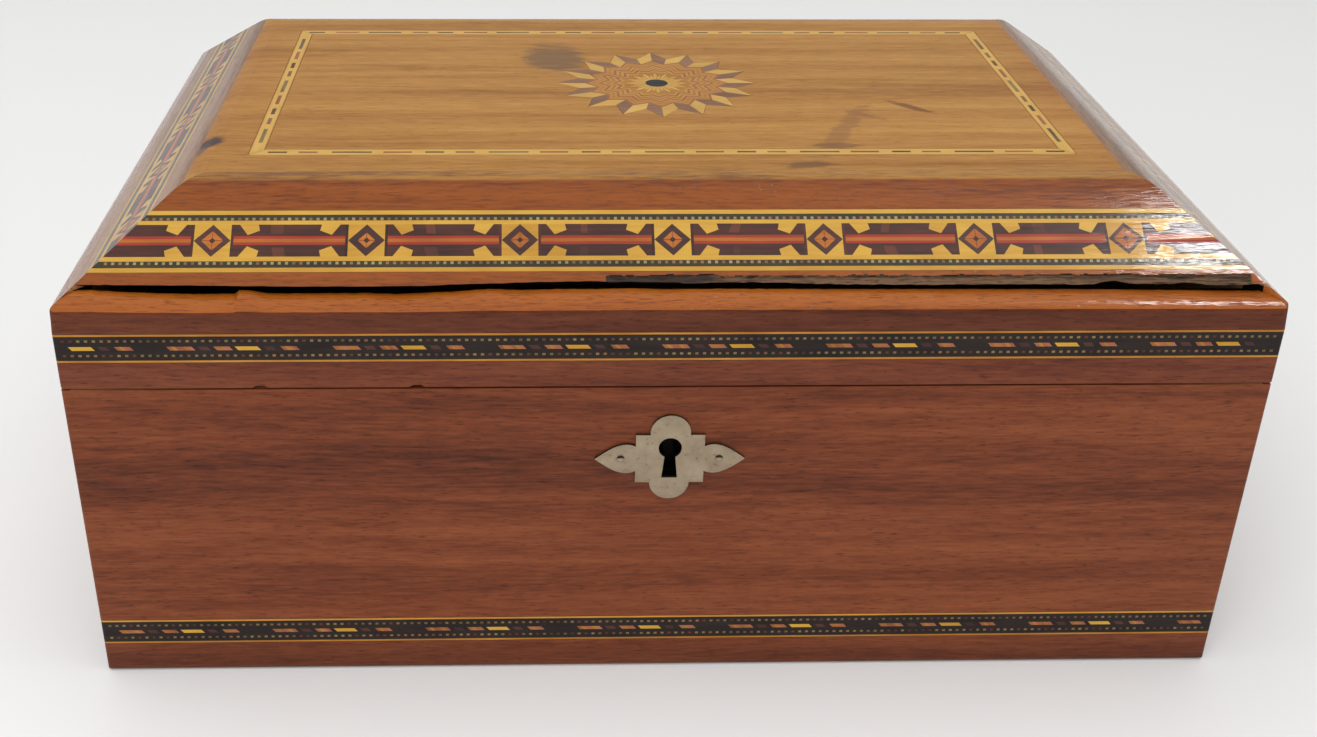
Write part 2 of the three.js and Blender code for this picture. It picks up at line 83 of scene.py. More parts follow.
def linear(colour: Colour) -> tuple[float, float, float, float]:
    """Turns a colour as a screen shows it into light.

    Args:
        colour: Red, green and blue from 0 to 255.

    Returns:
        Red, green, blue and full alpha for a shader's socket.
    """
    parts = [part / 255 for part in colour]
    light = [part / 12.92 if part < 0.0405 else ((part + 0.055) / 1.055) ** 2.4 for part in parts]
    return (light[0], light[1], light[2], 1.0)


def along_table(table: Sequence[Point], place: float) -> float:
    """Reads a value between the entries of a table.

    Args:
        table: Places in rising order with their values.
        place: The place to read at.

    Returns:
        The value there, held at the table's ends.
    """
    if place <= table[0][0]:
        return table[0][1]
    for (start, first), (end, last) in zip(table, table[1:]):
        if place <= end:
            return first + (last - first) * (place - start) / (end - start)
    return table[-1][1]


@dataclass(frozen=True)
class CaseSizes:
    """The box's own sizes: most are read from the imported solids."""

    half_width: float
    half_depth: float
    base_height: float
    lid_bottom: float
    lid_top: float
    joint: float
    wall: float
    shoulder_rise: float = 21.7
    slope: float = 0.74
    ease_length: float = 8.2
    corner_round: float = 0.8
    shoulder_corner: float = 2.4
    corner_change: float = 5.0
    rim_round: float = 0.35
    groove_depth: float = 1.0
    mitre_gap: float = 0.1
    hair_gap: float = 0.015
    back_groove: Point = (2.5, 4.0)

    @classmethod
    def read(cls) -> "CaseSizes":
        """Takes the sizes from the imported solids.

        Returns:
            The sizes.
        """
        low, high = (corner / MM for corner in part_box("base_front_wall"))
        rail_low, rail_high = (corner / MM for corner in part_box("lid_front_rail"))
        return cls(
            half_width=-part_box("base_left_wall")[0].x / MM,
            half_depth=-low.y,
            base_height=high.z,
            lid_bottom=rail_low.z,
            lid_top=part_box("lid_top_panel")[1].z / MM,
            joint=rail_high.z,
            wall=high.y - low.y,
        )

    @property
    def shoulder(self) -> float:
        """Height at which the bevel's line meets the box's face."""
        return self.lid_bottom + self.shoulder_rise

    @property
    def ease_start(self) -> float:
        """Inset at which the bevel begins to level out."""
        rise = self.slope * self.ease_length / 2
        return (self.lid_top - self.shoulder - rise) / self.slope

    @property
    def bevel_end(self) -> float:
        """Inset at which the flat top begins."""
        return self.ease_start + self.ease_length

    @property
    def tilt(self) -> float:
        """Angle of the bevel above level."""
        return math.atan(self.slope)

    @property
    def slab(self) -> float:
        """Thickness of an inlaid picture, with a hair left free above and below."""
        return self.groove_depth - 2 * self.hair_gap

    def surface(self, inset: float) -> float:
        """Height of the lid's upper surface at an inset from the box's face.

        Args:
            inset: Distance in from the box's face.

        Returns:
            The height above the underside.
        """
        eased = min(max(inset - self.ease_start, 0), self.ease_length)
        straight = min(inset, self.ease_start)
        run = straight + eased - eased * eased / (2 * self.ease_length)
        return self.shoulder + self.slope * run

    def rounded(self, point: Vector) -> Vector:
        """Pulls a point back inside the small round of the box's upright corners.

        Args:
            point: A point of the box.

        Returns:
            The point, moved only if it lies past the round.
        """
        change = self.corner_change
        share = min(max((point.z - self.shoulder + change) / change, 0), 1)
        radius = self.corner_round + (self.shoulder_corner - self.corner_round) * share
        a = self.half_width - abs(point.x)
        b = self.half_depth - abs(point.y)
        if a >= radius or b >= radius:
            return point
        reach = math.hypot(radius - a, radius - b)
        if reach <= radius:
            return point
        share = radius / reach
        x = math.copysign(self.half_width - radius + (radius - a) * share, point.x)
        y = math.copysign(self.half_depth - radius + (radius - b) * share, point.y)
        return Vector((x, y, point.z))


class Grain(Enum):
    """The way that a board's grain runs."""

    ALONG_WIDTH = 0.0
    ALONG_DEPTH = math.pi / 2


class Side(Enum):
    """The four sides of the box, each with the way that it runs."""

    FRONT = (1, 0)
    RIGHT = (0, 1)
    BACK = (-1, 0)
    LEFT = (0, -1)

    @property
    def slug(self) -> str:
        """The side's name inside the names of pieces."""
        return self.name.lower()

    @property
    def number(self) -> int:
        """The side's place in the round, from 0."""
        return list(Side).index(self)

    @property
    def is_long(self) -> bool:
        """Whether the side runs along the box's width."""
        return bool(self.value[0])

    @property
    def grain(self) -> Grain:
        """The way that the grain runs on this side."""
        return Grain.ALONG_WIDTH if self.is_long else Grain.ALONG_DEPTH

    def halves(self, sizes: CaseSizes) -> Point:
        """Half the box's size along this side, and half of it across.

        Args:
            sizes: The box's sizes.

        Returns:
            The half length and the distance of the face from the middle.
        """
        if self.is_long:
            return sizes.half_width, sizes.half_depth
        return sizes.half_depth, sizes.half_width

    def spot(self, sizes: CaseSizes, along: float, inset: float, height: float) -> Vector:
        """A place on this side.

        Args:
            sizes: The box's sizes.
            along: Distance along the side from its middle.
            inset: Distance in from the box's face.
            height: Height above the underside.

        Returns:
            The place in the box's frame.
        """
        across = inset - self.halves(sizes)[1]
        x, y = self.value
        return Vector((x * along - y * across, y * along + x * across, height))

    def measure(self, sizes: CaseSizes, point: Vector) -> Point:
        """Distance along this side and inset from its face of a place in the box's frame.

        Args:
            sizes: The box's sizes.
            point: The place.

        Returns:
            The distance along the side from its middle, and the inset.
        """
        x, y = self.value
        return x * point.x + y * point.y, x * point.y - y * point.x + self.halves(sizes)[1]


class Nodes:
    """A tree of nodes, added as they are asked for."""

    def __init__(self, tree: bpy.types.NodeTree) -> None:
        """Starts on a tree.

        Args:
            tree: The tree that the nodes go into.
        """
        self.tree = tree

    def feed(self, socket: Socket, value: object) -> None:
        """Sets a socket to a value, or links another socket to it.

        Args:
            socket: The input socket.
            value: A value, or the output socket that feeds it.
        """
        if isinstance(value, Socket):
            self.tree.links.new(value, socket)
        else:
            socket.default_value = value

    def node(
        self, kind: str, inputs: Mapping[str | int, object] | None = None, **settings: object
    ) -> bpy.types.Node:
        """Adds a node.

        Args:
            kind: The node's type name.
            inputs: Values or sockets for its inputs, by name or number.
            **settings: Properties to set on it.

        Returns:
            The new node.
        """
        made = self.tree.nodes.new(kind)
        for name, value in settings.items():
            setattr(made, name, value)
        for name, value in (inputs or {}).items():
            self.feed(made.inputs[name], value)
        return made

    def math(self, operation: str, first: object, second: object = 0.0, clamp: bool = False) -> Socket:
        """A sum, product or other function of two values.

        Args:
            operation: Blender's name for the function.
            first: The first value or socket.
            second: The second value or socket.
            clamp: Whether the result is kept between 0 and 1.

        Returns:
            The value socket.
        """
        made = self.node("ShaderNodeMath", {0: first, 1: second}, operation=operation, use_clamp=clamp)
        return made.outputs[0]


class Shade(Nodes):
    """The nodes of one finish."""

    def __init__(self, name: str, grain: Grain = Grain.ALONG_WIDTH) -> None:
        """Starts a material whose places are turned so that the grain runs along X.

        Args:
            name: The material's name.
            grain: The way that the grain runs.
        """
        self.material = bpy.data.materials.new(name)
        self.material.use_nodes = True
        super().__init__(self.material.node_tree)
        self.shader = self.tree.nodes["Principled BSDF"]
        self.object_place = self.node("ShaderNodeTexCoord").outputs["Object"]
        turned = {"Rotation": (0, 0, -grain.value), "Vector": self.object_place}
        self.place = self.node("ShaderNodeMapping", turned).outputs["Vector"]

    def cloud(self, along: float, across: float, detail: float, shift: float = 0.0) -> bpy.types.Node:
        """Cloudy noise, drawn out along the grain.

        Args:
            along: Repeats per metre along the grain.
            across: Repeats per metre across it.
            detail: How many finer layers are added.
            shift: A shift that keeps two patterns apart.

        Returns:
            The noise node.
        """
        stretch = {"Scale": (along, across, across), "Location": (shift, shift, shift), "Vector": self.place}
        place = self.node("ShaderNodeMapping", stretch).outputs["Vector"]
        return self.node("ShaderNodeTexNoise", {"Scale": 1, "Detail": detail, "Vector": place})

    def noise(self, along: float, across: float, detail: float, shift: float = 0.0) -> Socket:
        """Cloudy values from 0 to 1.

        Args:
            along: Repeats per metre along the grain.
            across: Repeats per metre across it.
            detail: How many finer layers are added.
            shift: A shift that keeps two patterns apart.

        Returns:
            The value socket.
        """
        return self.cloud(along, across, detail, shift).outputs["Fac"]

    def vector(self, operation: str, first: object, second: Sequence[float] | Socket = (0, 0, 0)) -> Socket:
        """A function of two vectors.

        Args:
            operation: Blender's name for the function.
            first: The first vector or socket.
            second: The second vector or socket.

        Returns:
            The vector socket, or the value socket of a length.
        """
        made = self.node("ShaderNodeVectorMath", {0: first, 1: second}, operation=operation)
        return made.outputs["Value" if operation == "LENGTH" else "Vector"]

    def sway(self, reach: float, scale: float) -> None:
        """Bends the places gently, so that streaks of grain aren't ruled lines.

        Args:
            reach: How far places move, in metres.
            scale: Repeats of the bend per metre.
        """
        middle = self.vector("SUBTRACT", self.cloud(scale, scale * 3, 1).outputs["Color"], (0.5, 0.5, 0.5))
        self.place = self.vector("ADD", self.place, self.vector("MULTIPLY", middle, (0, reach, reach)))

    def weighed(self, values: Iterable[Socket], weights: Iterable[float]) -> Socket:
        """Adds values up, each times its weight.

        Args:
            values: The value sockets.
            weights: Their weights.

        Returns:
            The value socket.
        """
        first, *others = [self.math("MULTIPLY", value, weight) for value, weight in zip(values, weights)]
        for other in others:
            first = self.math("ADD", first, other)
        return first

    def between(
        self, value: Socket, low: float, high: float, to_low: float = 0, to_high: float = 1
    ) -> Socket:
        """Stretches part of a value's range, and holds it at the ends.

        Args:
            value: The value socket.
            low: Where the range begins.
            high: Where the range ends.
            to_low: Result at the beginning.
            to_high: Result at the end.

        Returns:
            The value socket.
        """
        ends = {"Value": value, "From Min": low, "From Max": high, "To Min": to_low, "To Max": to_high}
        return self.node("ShaderNodeMapRange", ends).outputs["Result"]

    def mix(self, share: Socket, first: object, second: object, blend: str = "MIX") -> Socket:
        """Mixes two colours.

        Args:
            share: How much of the second colour shows.
            first: The first colour or socket.
            second: The second colour or socket.
            blend: How the colours meet.

        Returns:
            The colour socket.
        """
        inputs = {0: share, 6: first, 7: second}
        return self.node("ShaderNodeMix", inputs, data_type="RGBA", blend_type=blend).outputs[2]

    def ramp(self, value: Socket, stops: Iterable[tuple[float, Colour]]) -> Socket:
        """Turns a value into a colour.

        Args:
            value: The value socket.
            stops: Places from 0 to 1 with their colours.

        Returns:
            The colour socket.
        """
        made = self.node("ShaderNodeValToRGB", {"Fac": value})
        band = made.color_ramp
        for number, (place, colour) in enumerate(stops):
            stop = band.elements[number] if number < 2 else band.elements.new(place)
            stop.position = place
            stop.color = linear(colour)
        return made.outputs["Color"]

    def paint(self, colour: object, roughness: object) -> None:
        """Sets the surface's colour and roughness.

        Args:
            colour: The colour or its socket.
            roughness: The roughness or its socket.
        """
        self.feed(self.shader.inputs["Base Color"], colour)
        self.feed(self.shader.inputs["Roughness"], roughness)

    def bump(self, height: Socket, strength: float, distance: float) -> None:
        """Gives the surface low relief.

        Args:
            height: The value socket that is high where the surface is.
            strength: How much of the relief shows.
            distance: The relief's depth in metres.
        """
        made = self.node("ShaderNodeBump", {"Strength": strength, "Distance": distance, "Height": height})
        for name in ("Normal", "Coat Normal"):
            self.feed(self.shader.inputs[name], made.outputs["Normal"])

    def polish(self, shine: float, coat: float = 0.0, coat_roughness: float = 0.1) -> None:
        """Sets how much the finish mirrors its room.

        Args:
            shine: How strongly the bare surface mirrors.
            coat: How strongly the varnish over it does.
            coat_roughness: How blurred the varnish is.
        """
        self.shader.inputs["Specular IOR Level"].default_value = shine
        self.shader.inputs["Coat Weight"].default_value = coat
        self.shader.inputs["Coat Roughness"].default_value = coat_roughness


@dataclass(frozen=True)
class Blotch:
    """A stain or scuff on a board."""

    middle: Point
    reach: Point
    turn: float
    colour: Colour
    strength: float
    raggedness: float = 0.5
    edge: Point = (0.7, 1.15)

    def laid(self, shade: Shade, colour: Socket, number: int) -> Socket:
        """Lays the stain over a colour.

        Args:
            shade: The finish that the stain belongs to.
            colour: The colour socket under the stain.
            number: The stain's place in the list, which keeps its ragged edge its own.

        Returns:
            The colour socket with the stain.
        """
        own = {
            "Location": (self.middle[0] * MM, self.middle[1] * MM, 0),
            "Rotation": (0, 0, self.turn),
            "Scale": (self.reach[0] * MM, self.reach[1] * MM, 1),
            "Vector": shade.object_place,
        }
        place = shade.node("ShaderNodeMapping", own, vector_type="TEXTURE").outputs["Vector"]
        length = shade.vector("LENGTH", shade.vector("MULTIPLY", place, (1, 1, 0)))
        ragged = shade.noise(160, 420, 4, 20 + 5.0 * number)
        wander = shade.between(ragged, 0, 1, -self.raggedness, self.raggedness)
        inside = shade.between(shade.math("ADD", length, wander), *self.edge, 1, 0)
        return shade.mix(shade.math("MULTIPLY", inside, self.strength), colour, linear(self.colour))


@dataclass(frozen=True)
class Wood:
    """A finished wood: its colours, its figure and its polish."""

    name: str
    light: Colour
    middle: Colour
    dark: Colour
    streaks: float = 45.0
    contrast: float = 1.0
    pores: float = 0.4
    roughness: float = 0.4
    shine: float = 0.16
    coat: float = 0.1
    coat_roughness: float = 0.12
    relief: float = 0.3
    fade: Point = (0.0, 0.0)
    fade_colour: Colour = (255, 255, 255)
    blotches: tuple[Blotch, ...] = ()
    sway: Point = (0.006, 7)
    weights: tuple[float, float, float] = (0.45, 0.25, 0.3)
    spread: float = 0.16
    pore_range: Point = (0.58, 0.72)
    roughness_range: Point = (0.07, -0.05)
    relief_depth: float = 0.00008

    def material(self, grain: Grain) -> bpy.types.Material:
        """Builds the material, or finds it if it is there.

        Args:
            grain: The way that the grain runs.

        Returns:
            The material.
        """
        name = f"{self.name}_{grain.name.lower()}"
        if name in bpy.data.materials:
            return bpy.data.materials[name]
        shade = Shade(name, grain)
        shade.sway(*self.sway)
        broad = shade.noise(2.2, self.streaks, 2)
        medium = shade.noise(13, self.streaks * 6, 3, 3.1)
        fine = shade.noise(130, 1400, 3, 7.7)
        pore = shade.between(shade.noise(320, 2600, 2, 11.3), *self.pore_range)
        half = self.spread / self.contrast
        figure = shade.between(shade.weighed((broad, medium, fine), self.weights), 0.5 - half, 0.5 + half)
        colour = shade.ramp(figure, ((0, self.dark), (0.45, self.middle), (1, self.light)))
        colour = shade.mix(shade.math("MULTIPLY", pore, self.pores), colour, linear(self.dark), "MULTIPLY")
        if self.fade[1] != self.fade[0]:
            height = shade.node("ShaderNodeSeparateXYZ", {"Vector": shade.object_place}).outputs["Z"]
            low, high = (end * MM for end in self.fade)
            share = shade.between(height, low, high, 1, 0)
            colour = shade.mix(share, colour, linear(self.fade_colour), "MULTIPLY")
        for number, blotch in enumerate(self.blotches):
            colour = blotch.laid(shade, colour, number)
        rough, smooth = (self.roughness + change for change in self.roughness_range)
        shade.paint(colour, shade.between(medium, 0.3, 0.7, rough, smooth))
        shade.polish(self.shine, self.coat, self.coat_roughness)
        raised = shade.math("ADD", shade.math("MULTIPLY", medium, 0.5), fine)
        depth = self.relief_depth * max(self.relief, 1)
        shade.bump(shade.math("SUBTRACT", raised, pore), min(self.relief, 1), depth)
        return shade.material


@dataclass(frozen=True)
class Metal:
    """A metal finish with its dull clouds and specks."""

    name: str
    bright: Colour
    dull: Colour
    roughness: float
    metallic: float = 0.9
    cloud_scale: float = 170
    speck_scale: float = 900
    roughness_range: Point = (-0.06, 0.1)

    def material(self) -> bpy.types.Material:
        """Builds the material, or finds it if it is there.

        Returns:
            The material.
        """
        name = f"{self.name}_metal"
        if name in bpy.data.materials:
            return bpy.data.materials[name]
        shade = Shade(name)
        cloud = shade.noise(self.cloud_scale, self.cloud_scale, 4)
        speck = shade.noise(self.speck_scale, self.speck_scale, 2, 3)
        colour = shade.mix(shade.between(cloud, 0.35, 0.65), linear(self.bright), linear(self.dull))
        colour = shade.mix(shade.between(speck, 0.62, 0.75, 0, 0.5), colour, linear(self.dull), "MULTIPLY")
        smooth, rough = (self.roughness + change for change in self.roughness_range)
        shade.paint(colour, shade.between(speck, 0.3, 0.7, smooth, rough))
        shade.shader.inputs["Metallic"].default_value = self.metallic
        shade.bump(speck, 0.15, 0.00005)
        return shade.material


@dataclass(frozen=True)
class Veneer:
    """A wood that the inlaid pictures are cut from."""

    name: str
    light: Colour
    dark: Colour
    shine: float = 0.16
    piece_shift: float = 0.35
    roughness_range: Point = (0.34, 0.46)
    bare_relief: Point = (0.2, 0.00004)
    varnished_relief: Point = (1.0, 0.00012)

    def material(self, grain: Grain, coat: float) -> bpy.types.Material:
        """Builds the material, or finds it if it is there.

        Args:
            grain: The way that the grain runs.
            coat: How strongly the varnish over it mirrors.

        Returns:
            The material.
        """
        name = f"{self.name}_{grain.name.lower()}_{round(100 * coat)}"
        if name in bpy.data.materials:
            return bpy.data.materials[name]
        shade = Shade(name, grain)
        fibre = shade.noise(90, 900, 3)
        cloud = shade.noise(60, 150, 2, 5)
        own = shade.node("ShaderNodeAttribute", attribute_name="shade").outputs["Fac"]
        figure = shade.between(shade.weighed((fibre, cloud), (0.5, 0.5)), 0.3, 0.7)
        value = shade.math("ADD", figure, shade.math("MULTIPLY", own, self.piece_shift), True)
        colour = shade.mix(value, linear(self.light), linear(self.dark))
        shade.paint(colour, shade.between(fibre, 0.3, 0.7, *self.roughness_range))
        shade.polish(self.shine, coat)
        shade.bump(fibre, *(self.varnished_relief if coat >= FULL_COAT else self.bare_relief))
        return shade.material


# Darker towards the bottom.
FACE_WOOD = Wood(
    "face_wood", (146, 80, 45), (117, 58, 31), (76, 34, 18),
    pores=0.5, fade=(4.0, 11.0), fade_colour=(220, 218, 222),
)
RAIL_WOOD = Wood(
    "rail_wood", (136, 74, 46), (109, 54, 33), (72, 31, 20),
    pores=0.5, fade=(106.0, 99.0), fade_colour=(222, 222, 214),
)
SHOULDER_WOOD = Wood(
    "shoulder_wood", (176, 99, 28), (160, 83, 20), (112, 52, 14),
    streaks=70, coat=FULL_COAT, coat_roughness=0.1, relief=1.4,
)
# Golden where the bevel turns up into the top and darker below: a painted highlight along the turned-up
# strip.
BEVEL_WOOD = Wood(
    "bevel_wood", (180, 127, 52), (163, 112, 41), (128, 80, 28), streaks=45, contrast=1.8, pores=0.3,
    coat=FULL_COAT, coat_roughness=0.1, relief=1.3, fade=(132.4, 132.75), fade_colour=(212, 158, 90),
)
# The side mouldings' wood, lighter and greyer than the bevel's: a painted sheen, the reflection of the bright
# room.
SIDE_WOOD_WITH_SHEEN = replace(
    BEVEL_WOOD, name="side_wood_with_sheen", light=(164, 122, 88), middle=(148, 108, 78), dark=(122, 86, 62),
    coat=SIDE_COAT, fade=(0.0, 0.0),
)
PLAIN_WOOD = Wood("plain_wood", (190, 148, 104), (168, 124, 82), (136, 94, 58), roughness=0.6, coat=0.0)
TORN_WOOD = Wood(
    "torn_wood", (114, 86, 64), (74, 57, 45), (28, 24, 22), streaks=300, roughness=0.8, coat=0.0, relief=2.0,
    contrast=2.0, blotches=(Blotch((-4, -95), (16, 3), 0.0, (50, 42, 40), 0.8, 0.6),),
)
# Near-black painted shade for the crack, the keyhole's walls, the seam's chips and the underside over the
# crack.
PAINTED_SHADE = Wood("painted_shade", (20, 14, 11), (11, 8, 7), (5, 4, 4), roughness=0.9, shine=0.0, coat=0.0)
TOP_WOOD = Wood(
    "top_wood", (194, 143, 72), (173, 121, 55), (146, 94, 40), streaks=50, contrast=1.2, coat=0.14,
    blotches=(
        Blotch((158, -5), (44, 130), 0.0, (166, 100, 52), 0.45, 0.25),
        Blotch((-158, 5), (42, 130), 0.0, (168, 104, 56), 0.4, 0.25),
        Blotch((-28, 27), (9.5, 14), 0.2, (106, 82, 60), 0.72, 0.7),
        Blotch((50, -38), (3.0, 22), -0.43, (136, 92, 56), 0.5, 1.2),
        Blotch((46.4, -49), (7.5, 2.4), 0.0, (114, 76, 48), 0.6, 1.0),
        Blotch((37, -63), (6.5, 2.3), 0.1, (98, 64, 42), 0.65, 1.0),
        Blotch((73, -18.5), (8, 1.6), -0.75, (112, 66, 38), 0.8, 0.8),
        Blotch((58, -25), (6, 1.8), -0.6, (146, 94, 54), 0.6, 0.9),
        Blotch((-120.8, -45.5), (3.2, 3.9), -0.4, (50, 48, 56), 0.9, 0.6),
        Blotch((-122.6, -50.0), (1.6, 5.5), -0.3, (92, 80, 82), 0.7, 0.7),
    ),
)


class Tone(Enum):
    """The veneers of the inlaid pictures."""

    YELLOW = Veneer("yellow_veneer", (210, 163, 60), (186, 134, 40))
    LINE = Veneer("line_veneer", (206, 146, 56), (168, 108, 34))
    EBONY = Veneer("ebony_veneer", (44, 34, 30), (22, 17, 16))
    SOOTY = Veneer("sooty_veneer", (64, 55, 37), (39, 34, 27))
    ROSEWOOD = Veneer("rosewood_veneer", (88, 46, 36), (44, 28, 26))
    RED = Veneer("red_veneer", (182, 66, 37), (150, 46, 28))
    ORANGE = Veneer("orange_veneer", (194, 112, 32), (158, 84, 22))
    PURPLE = Veneer("purple_veneer", (85, 52, 44), (59, 36, 36))
    BRUISED = Veneer("bruised_veneer", (104, 56, 40), (68, 40, 34))
    ROSE = Veneer("rose_veneer", (166, 103, 68), (134, 77, 48))
    GOLD = Veneer("gold_veneer", (176, 123, 52), (148, 96, 36))
    PINK = Veneer("pink_veneer", (178, 107, 78), (142, 75, 55))
    TEAL = Veneer("teal_veneer", (46, 52, 52), (25, 28, 30))
    PALE = Veneer("pale_veneer", (168, 150, 98), (128, 112, 70))
    OLIVE = Veneer("olive_veneer", (138, 116, 74), (84, 66, 46))
    TAN = Veneer("tan_veneer", (146, 108, 70), (108, 78, 50))
    CREAM = Veneer("cream_veneer", (214, 171, 92), (192, 148, 72))
    DUSK = Veneer("dusk_veneer", (148, 110, 82), (120, 86, 66))
    HONEY = Veneer("honey_veneer", (190, 140, 72), (172, 122, 58))
    UMBER = Veneer("umber_veneer", (106, 80, 48), (78, 58, 36))


NICKEL = Metal("nickel", (175, 158, 135), (154, 137, 114), 0.42)
# A darker finish for the upward faces of the nickel plate and its pins.
DARK_RIM = Metal("tarnish", (52, 40, 30), (28, 21, 16), 0.7, 0.4)
STEEL = Metal("steel", (26, 22, 19), (12, 10, 9), 0.7, 0.4)
BRASS = Metal("brass", (196, 160, 92), (140, 108, 56), 0.38)


def place_mesh(
    mesh: bmesh.types.BMesh, name: str, body: str, nodes: Sequence[str],
    finishes: Sequence[bpy.types.Material],
) -> None:
    """Makes an object of a mesh in millimetres and lets it ride on its body.

    Args:
        mesh: The mesh, which is used up.
        name: The piece's name.
        body: The body that it rides on.
        nodes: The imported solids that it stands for.
        finishes: Its materials, in the order of the faces' numbers.
    """
    bmesh.ops.scale(mesh, vec=(MM,) * 3, verts=mesh.verts)
    bmesh.ops.triangulate(mesh, faces=mesh.faces)
    data = bpy.data.meshes.new(name)
    mesh.to_mesh(data)
    mesh.free()
    data.shade_smooth()
    data.set_sharp_from_angle(angle=SHARP_ANGLE)
    for finish in finishes:
        data.materials.append(finish)
    piece = bpy.data.objects.new(name, data)
    bpy.context.scene.collection.objects.link(piece)
    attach(piece, body)
    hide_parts(*nodes)
    LOG.info("%s: %d triangles, on %s", name, len(data.polygons), body)


class Workpiece:
    """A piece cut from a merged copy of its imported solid, worked on in millimetres."""

    def __init__(self, node: str) -> None:
        """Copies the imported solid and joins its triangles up.

        Args:
            node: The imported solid's name.
        """
        self.node = node
        self.finishes: list[bpy.types.Material] = []
        self.mesh = bmesh.new()
        source = bpy.data.objects[node].data
        corners = [self.mesh.verts.new(vertex.co / MM) for vertex in source.vertices]
        for polygon in source.polygons:
            self.mesh.faces.new([corners[number] for number in polygon.vertices])
        bmesh.ops.remove_doubles(self.mesh, verts=self.mesh.verts, dist=MERGE_REACH)

    def ease(self, width: float, rule: Callable[[Vector, Vector], bool]) -> None:
        """Rounds the sharp outward edges that a rule picks.

        Args:
            width: How far the round reaches from the edge.
            rule: Says yes to an edge by its two ends.
        """
        edges = [
            edge
            for edge in self.mesh.edges
            if edge.is_manifold
            and edge.is_convex
            and edge.calc_face_angle(0) > EASED_ANGLE
            and rule(edge.verts[0].co, edge.verts[1].co)
        ]
        bmesh.ops.bevel(
            self.mesh, geom=edges, offset=width, offset_type="OFFSET", segments=ROUND_SEGMENTS,
            profile=0.5, affect="EDGES", clamp_overlap=True,
        )

    def slice(self, normal: Vector, places: Iterable[float], base: Vector = Vector()) -> None:
        """Scores the piece across, so that it can be shaped there.

        Args:
            normal: The direction that the cuts face.
            places: Distances of the cuts along that direction.
            base: The point from which they are measured.
        """
        for place in places:
            geometry = [*self.mesh.verts, *self.mesh.edges, *self.mesh.faces]
            bmesh.ops.bisect_plane(
                self.mesh, geom=geometry, plane_co=base + normal * place, plane_no=normal, dist=1e-3
            )

    def shape(self, rule: Callable[[Vector], Vector]) -> None:
        """Moves every corner of the mesh by a rule.

        Args:
            rule: Gives a corner's new place.
        """
        for vertex in self.mesh.verts:
            vertex.co = rule(vertex.co)

    def dress(self, rule: Callable[[Vector, Vector], bpy.types.Material]) -> None:
        """Gives each face a finish.

        Args:
            rule: Gives the finish for a face by its middle and the way it faces.
        """
        for face in self.mesh.faces:
            finish = rule(face.calc_center_median(), face.normal)
            if finish not in self.finishes:
                self.finishes.append(finish)
            face.material_index = self.finishes.index(finish)

    def finish(self, body: str, slot: str) -> None:
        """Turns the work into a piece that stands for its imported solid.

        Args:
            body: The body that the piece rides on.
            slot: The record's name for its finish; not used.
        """
        place_mesh(self.mesh, f"{self.node}_piece", body, [self.node], self.finishes)


class Member(Workpiece):
    """A mitred length of the box: a wall, a rail or a moulding."""

    def __init__(self, node: str, side: Side, sizes: CaseSizes) -> None:
        """Copies the member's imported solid.

        Args:
            node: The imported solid's name.
            side: The side that it lies on.
            sizes: The box's sizes.
        """
        super().__init__(node)
        self.side = side
        self.sizes = sizes
        self.half = side.halves(sizes)[0]

    def measure(self, point: Vector) -> Point:
        """Distance along the member and inset from the box's face.

        Args:
            point: A place in the box's frame.

        Returns:
            The distance from the member's middle, and the inset.
        """
        return self.side.measure(self.sizes, point)

    def at_mitre(self, along: float, inset: float) -> bool:
        """Whether a place is on the member's mitred ends.

        Args:
            along: Its distance from the member's middle.
            inset: Its inset from the box's face.

        Returns:
            Yes or no.
        """
        return abs(abs(along) - (self.half - inset - self.sizes.mitre_gap)) < NEAR_MITRE

    def to_mitre(self, along: float, inset: float) -> float:
        """Closes a mitre to a hair.

        Args:
            along: A distance from the member's middle, on one half or the other.
            inset: The inset from the box's face.

        Returns:
            The distance at which that half ends.
        """
        return math.copysign(self.half - inset - self.sizes.hair_gap, along)

    def ease_rim(self, height: float) -> None:
        """Rounds the outer edge at the seam between base and lid.

        Args:
            height: That edge's height.
        """

        def is_rim(first: Vector, second: Vector) -> bool:
            """Picks that edge by its two ends."""
            return all(abs(end.z - height) < NEAR and self.measure(end)[1] < NEAR for end in (first, second))

        self.ease(self.sizes.rim_round, is_rim)

    def score_corners(self) -> None:
        """Scores the member near its ends, so that its upright corners can be rounded."""
        along = Vector((abs(self.side.value[0]), abs(self.side.value[1]), 0))
        places = [share * self.sizes.corner_round for share in (0.25, 0.5, 0.75, 1.0)]
        places += [share * self.sizes.shoulder_corner for share in (0.5, 0.75, 1.0)]
        for place in places:
            self.slice(along, (place - self.half, self.half - place))

    def tighten(self, point: Vector) -> Vector:
        """Closes the member's mitres to a hair and rounds the box's upright corner.

        Args:
            point: A point of the member.

        Returns:
            Where the point goes.
        """
        along, inset = self.measure(point)
        reach, rise = self.sizes.back_groove
        in_groove = point.y > self.sizes.half_depth - reach and abs(point.z - self.sizes.base_height) < rise
        if self.at_mitre(along, inset) and not in_groove:
            point = self.side.spot(self.sizes, self.to_mitre(along, inset), inset, point.z)
        return self.sizes.rounded(point)


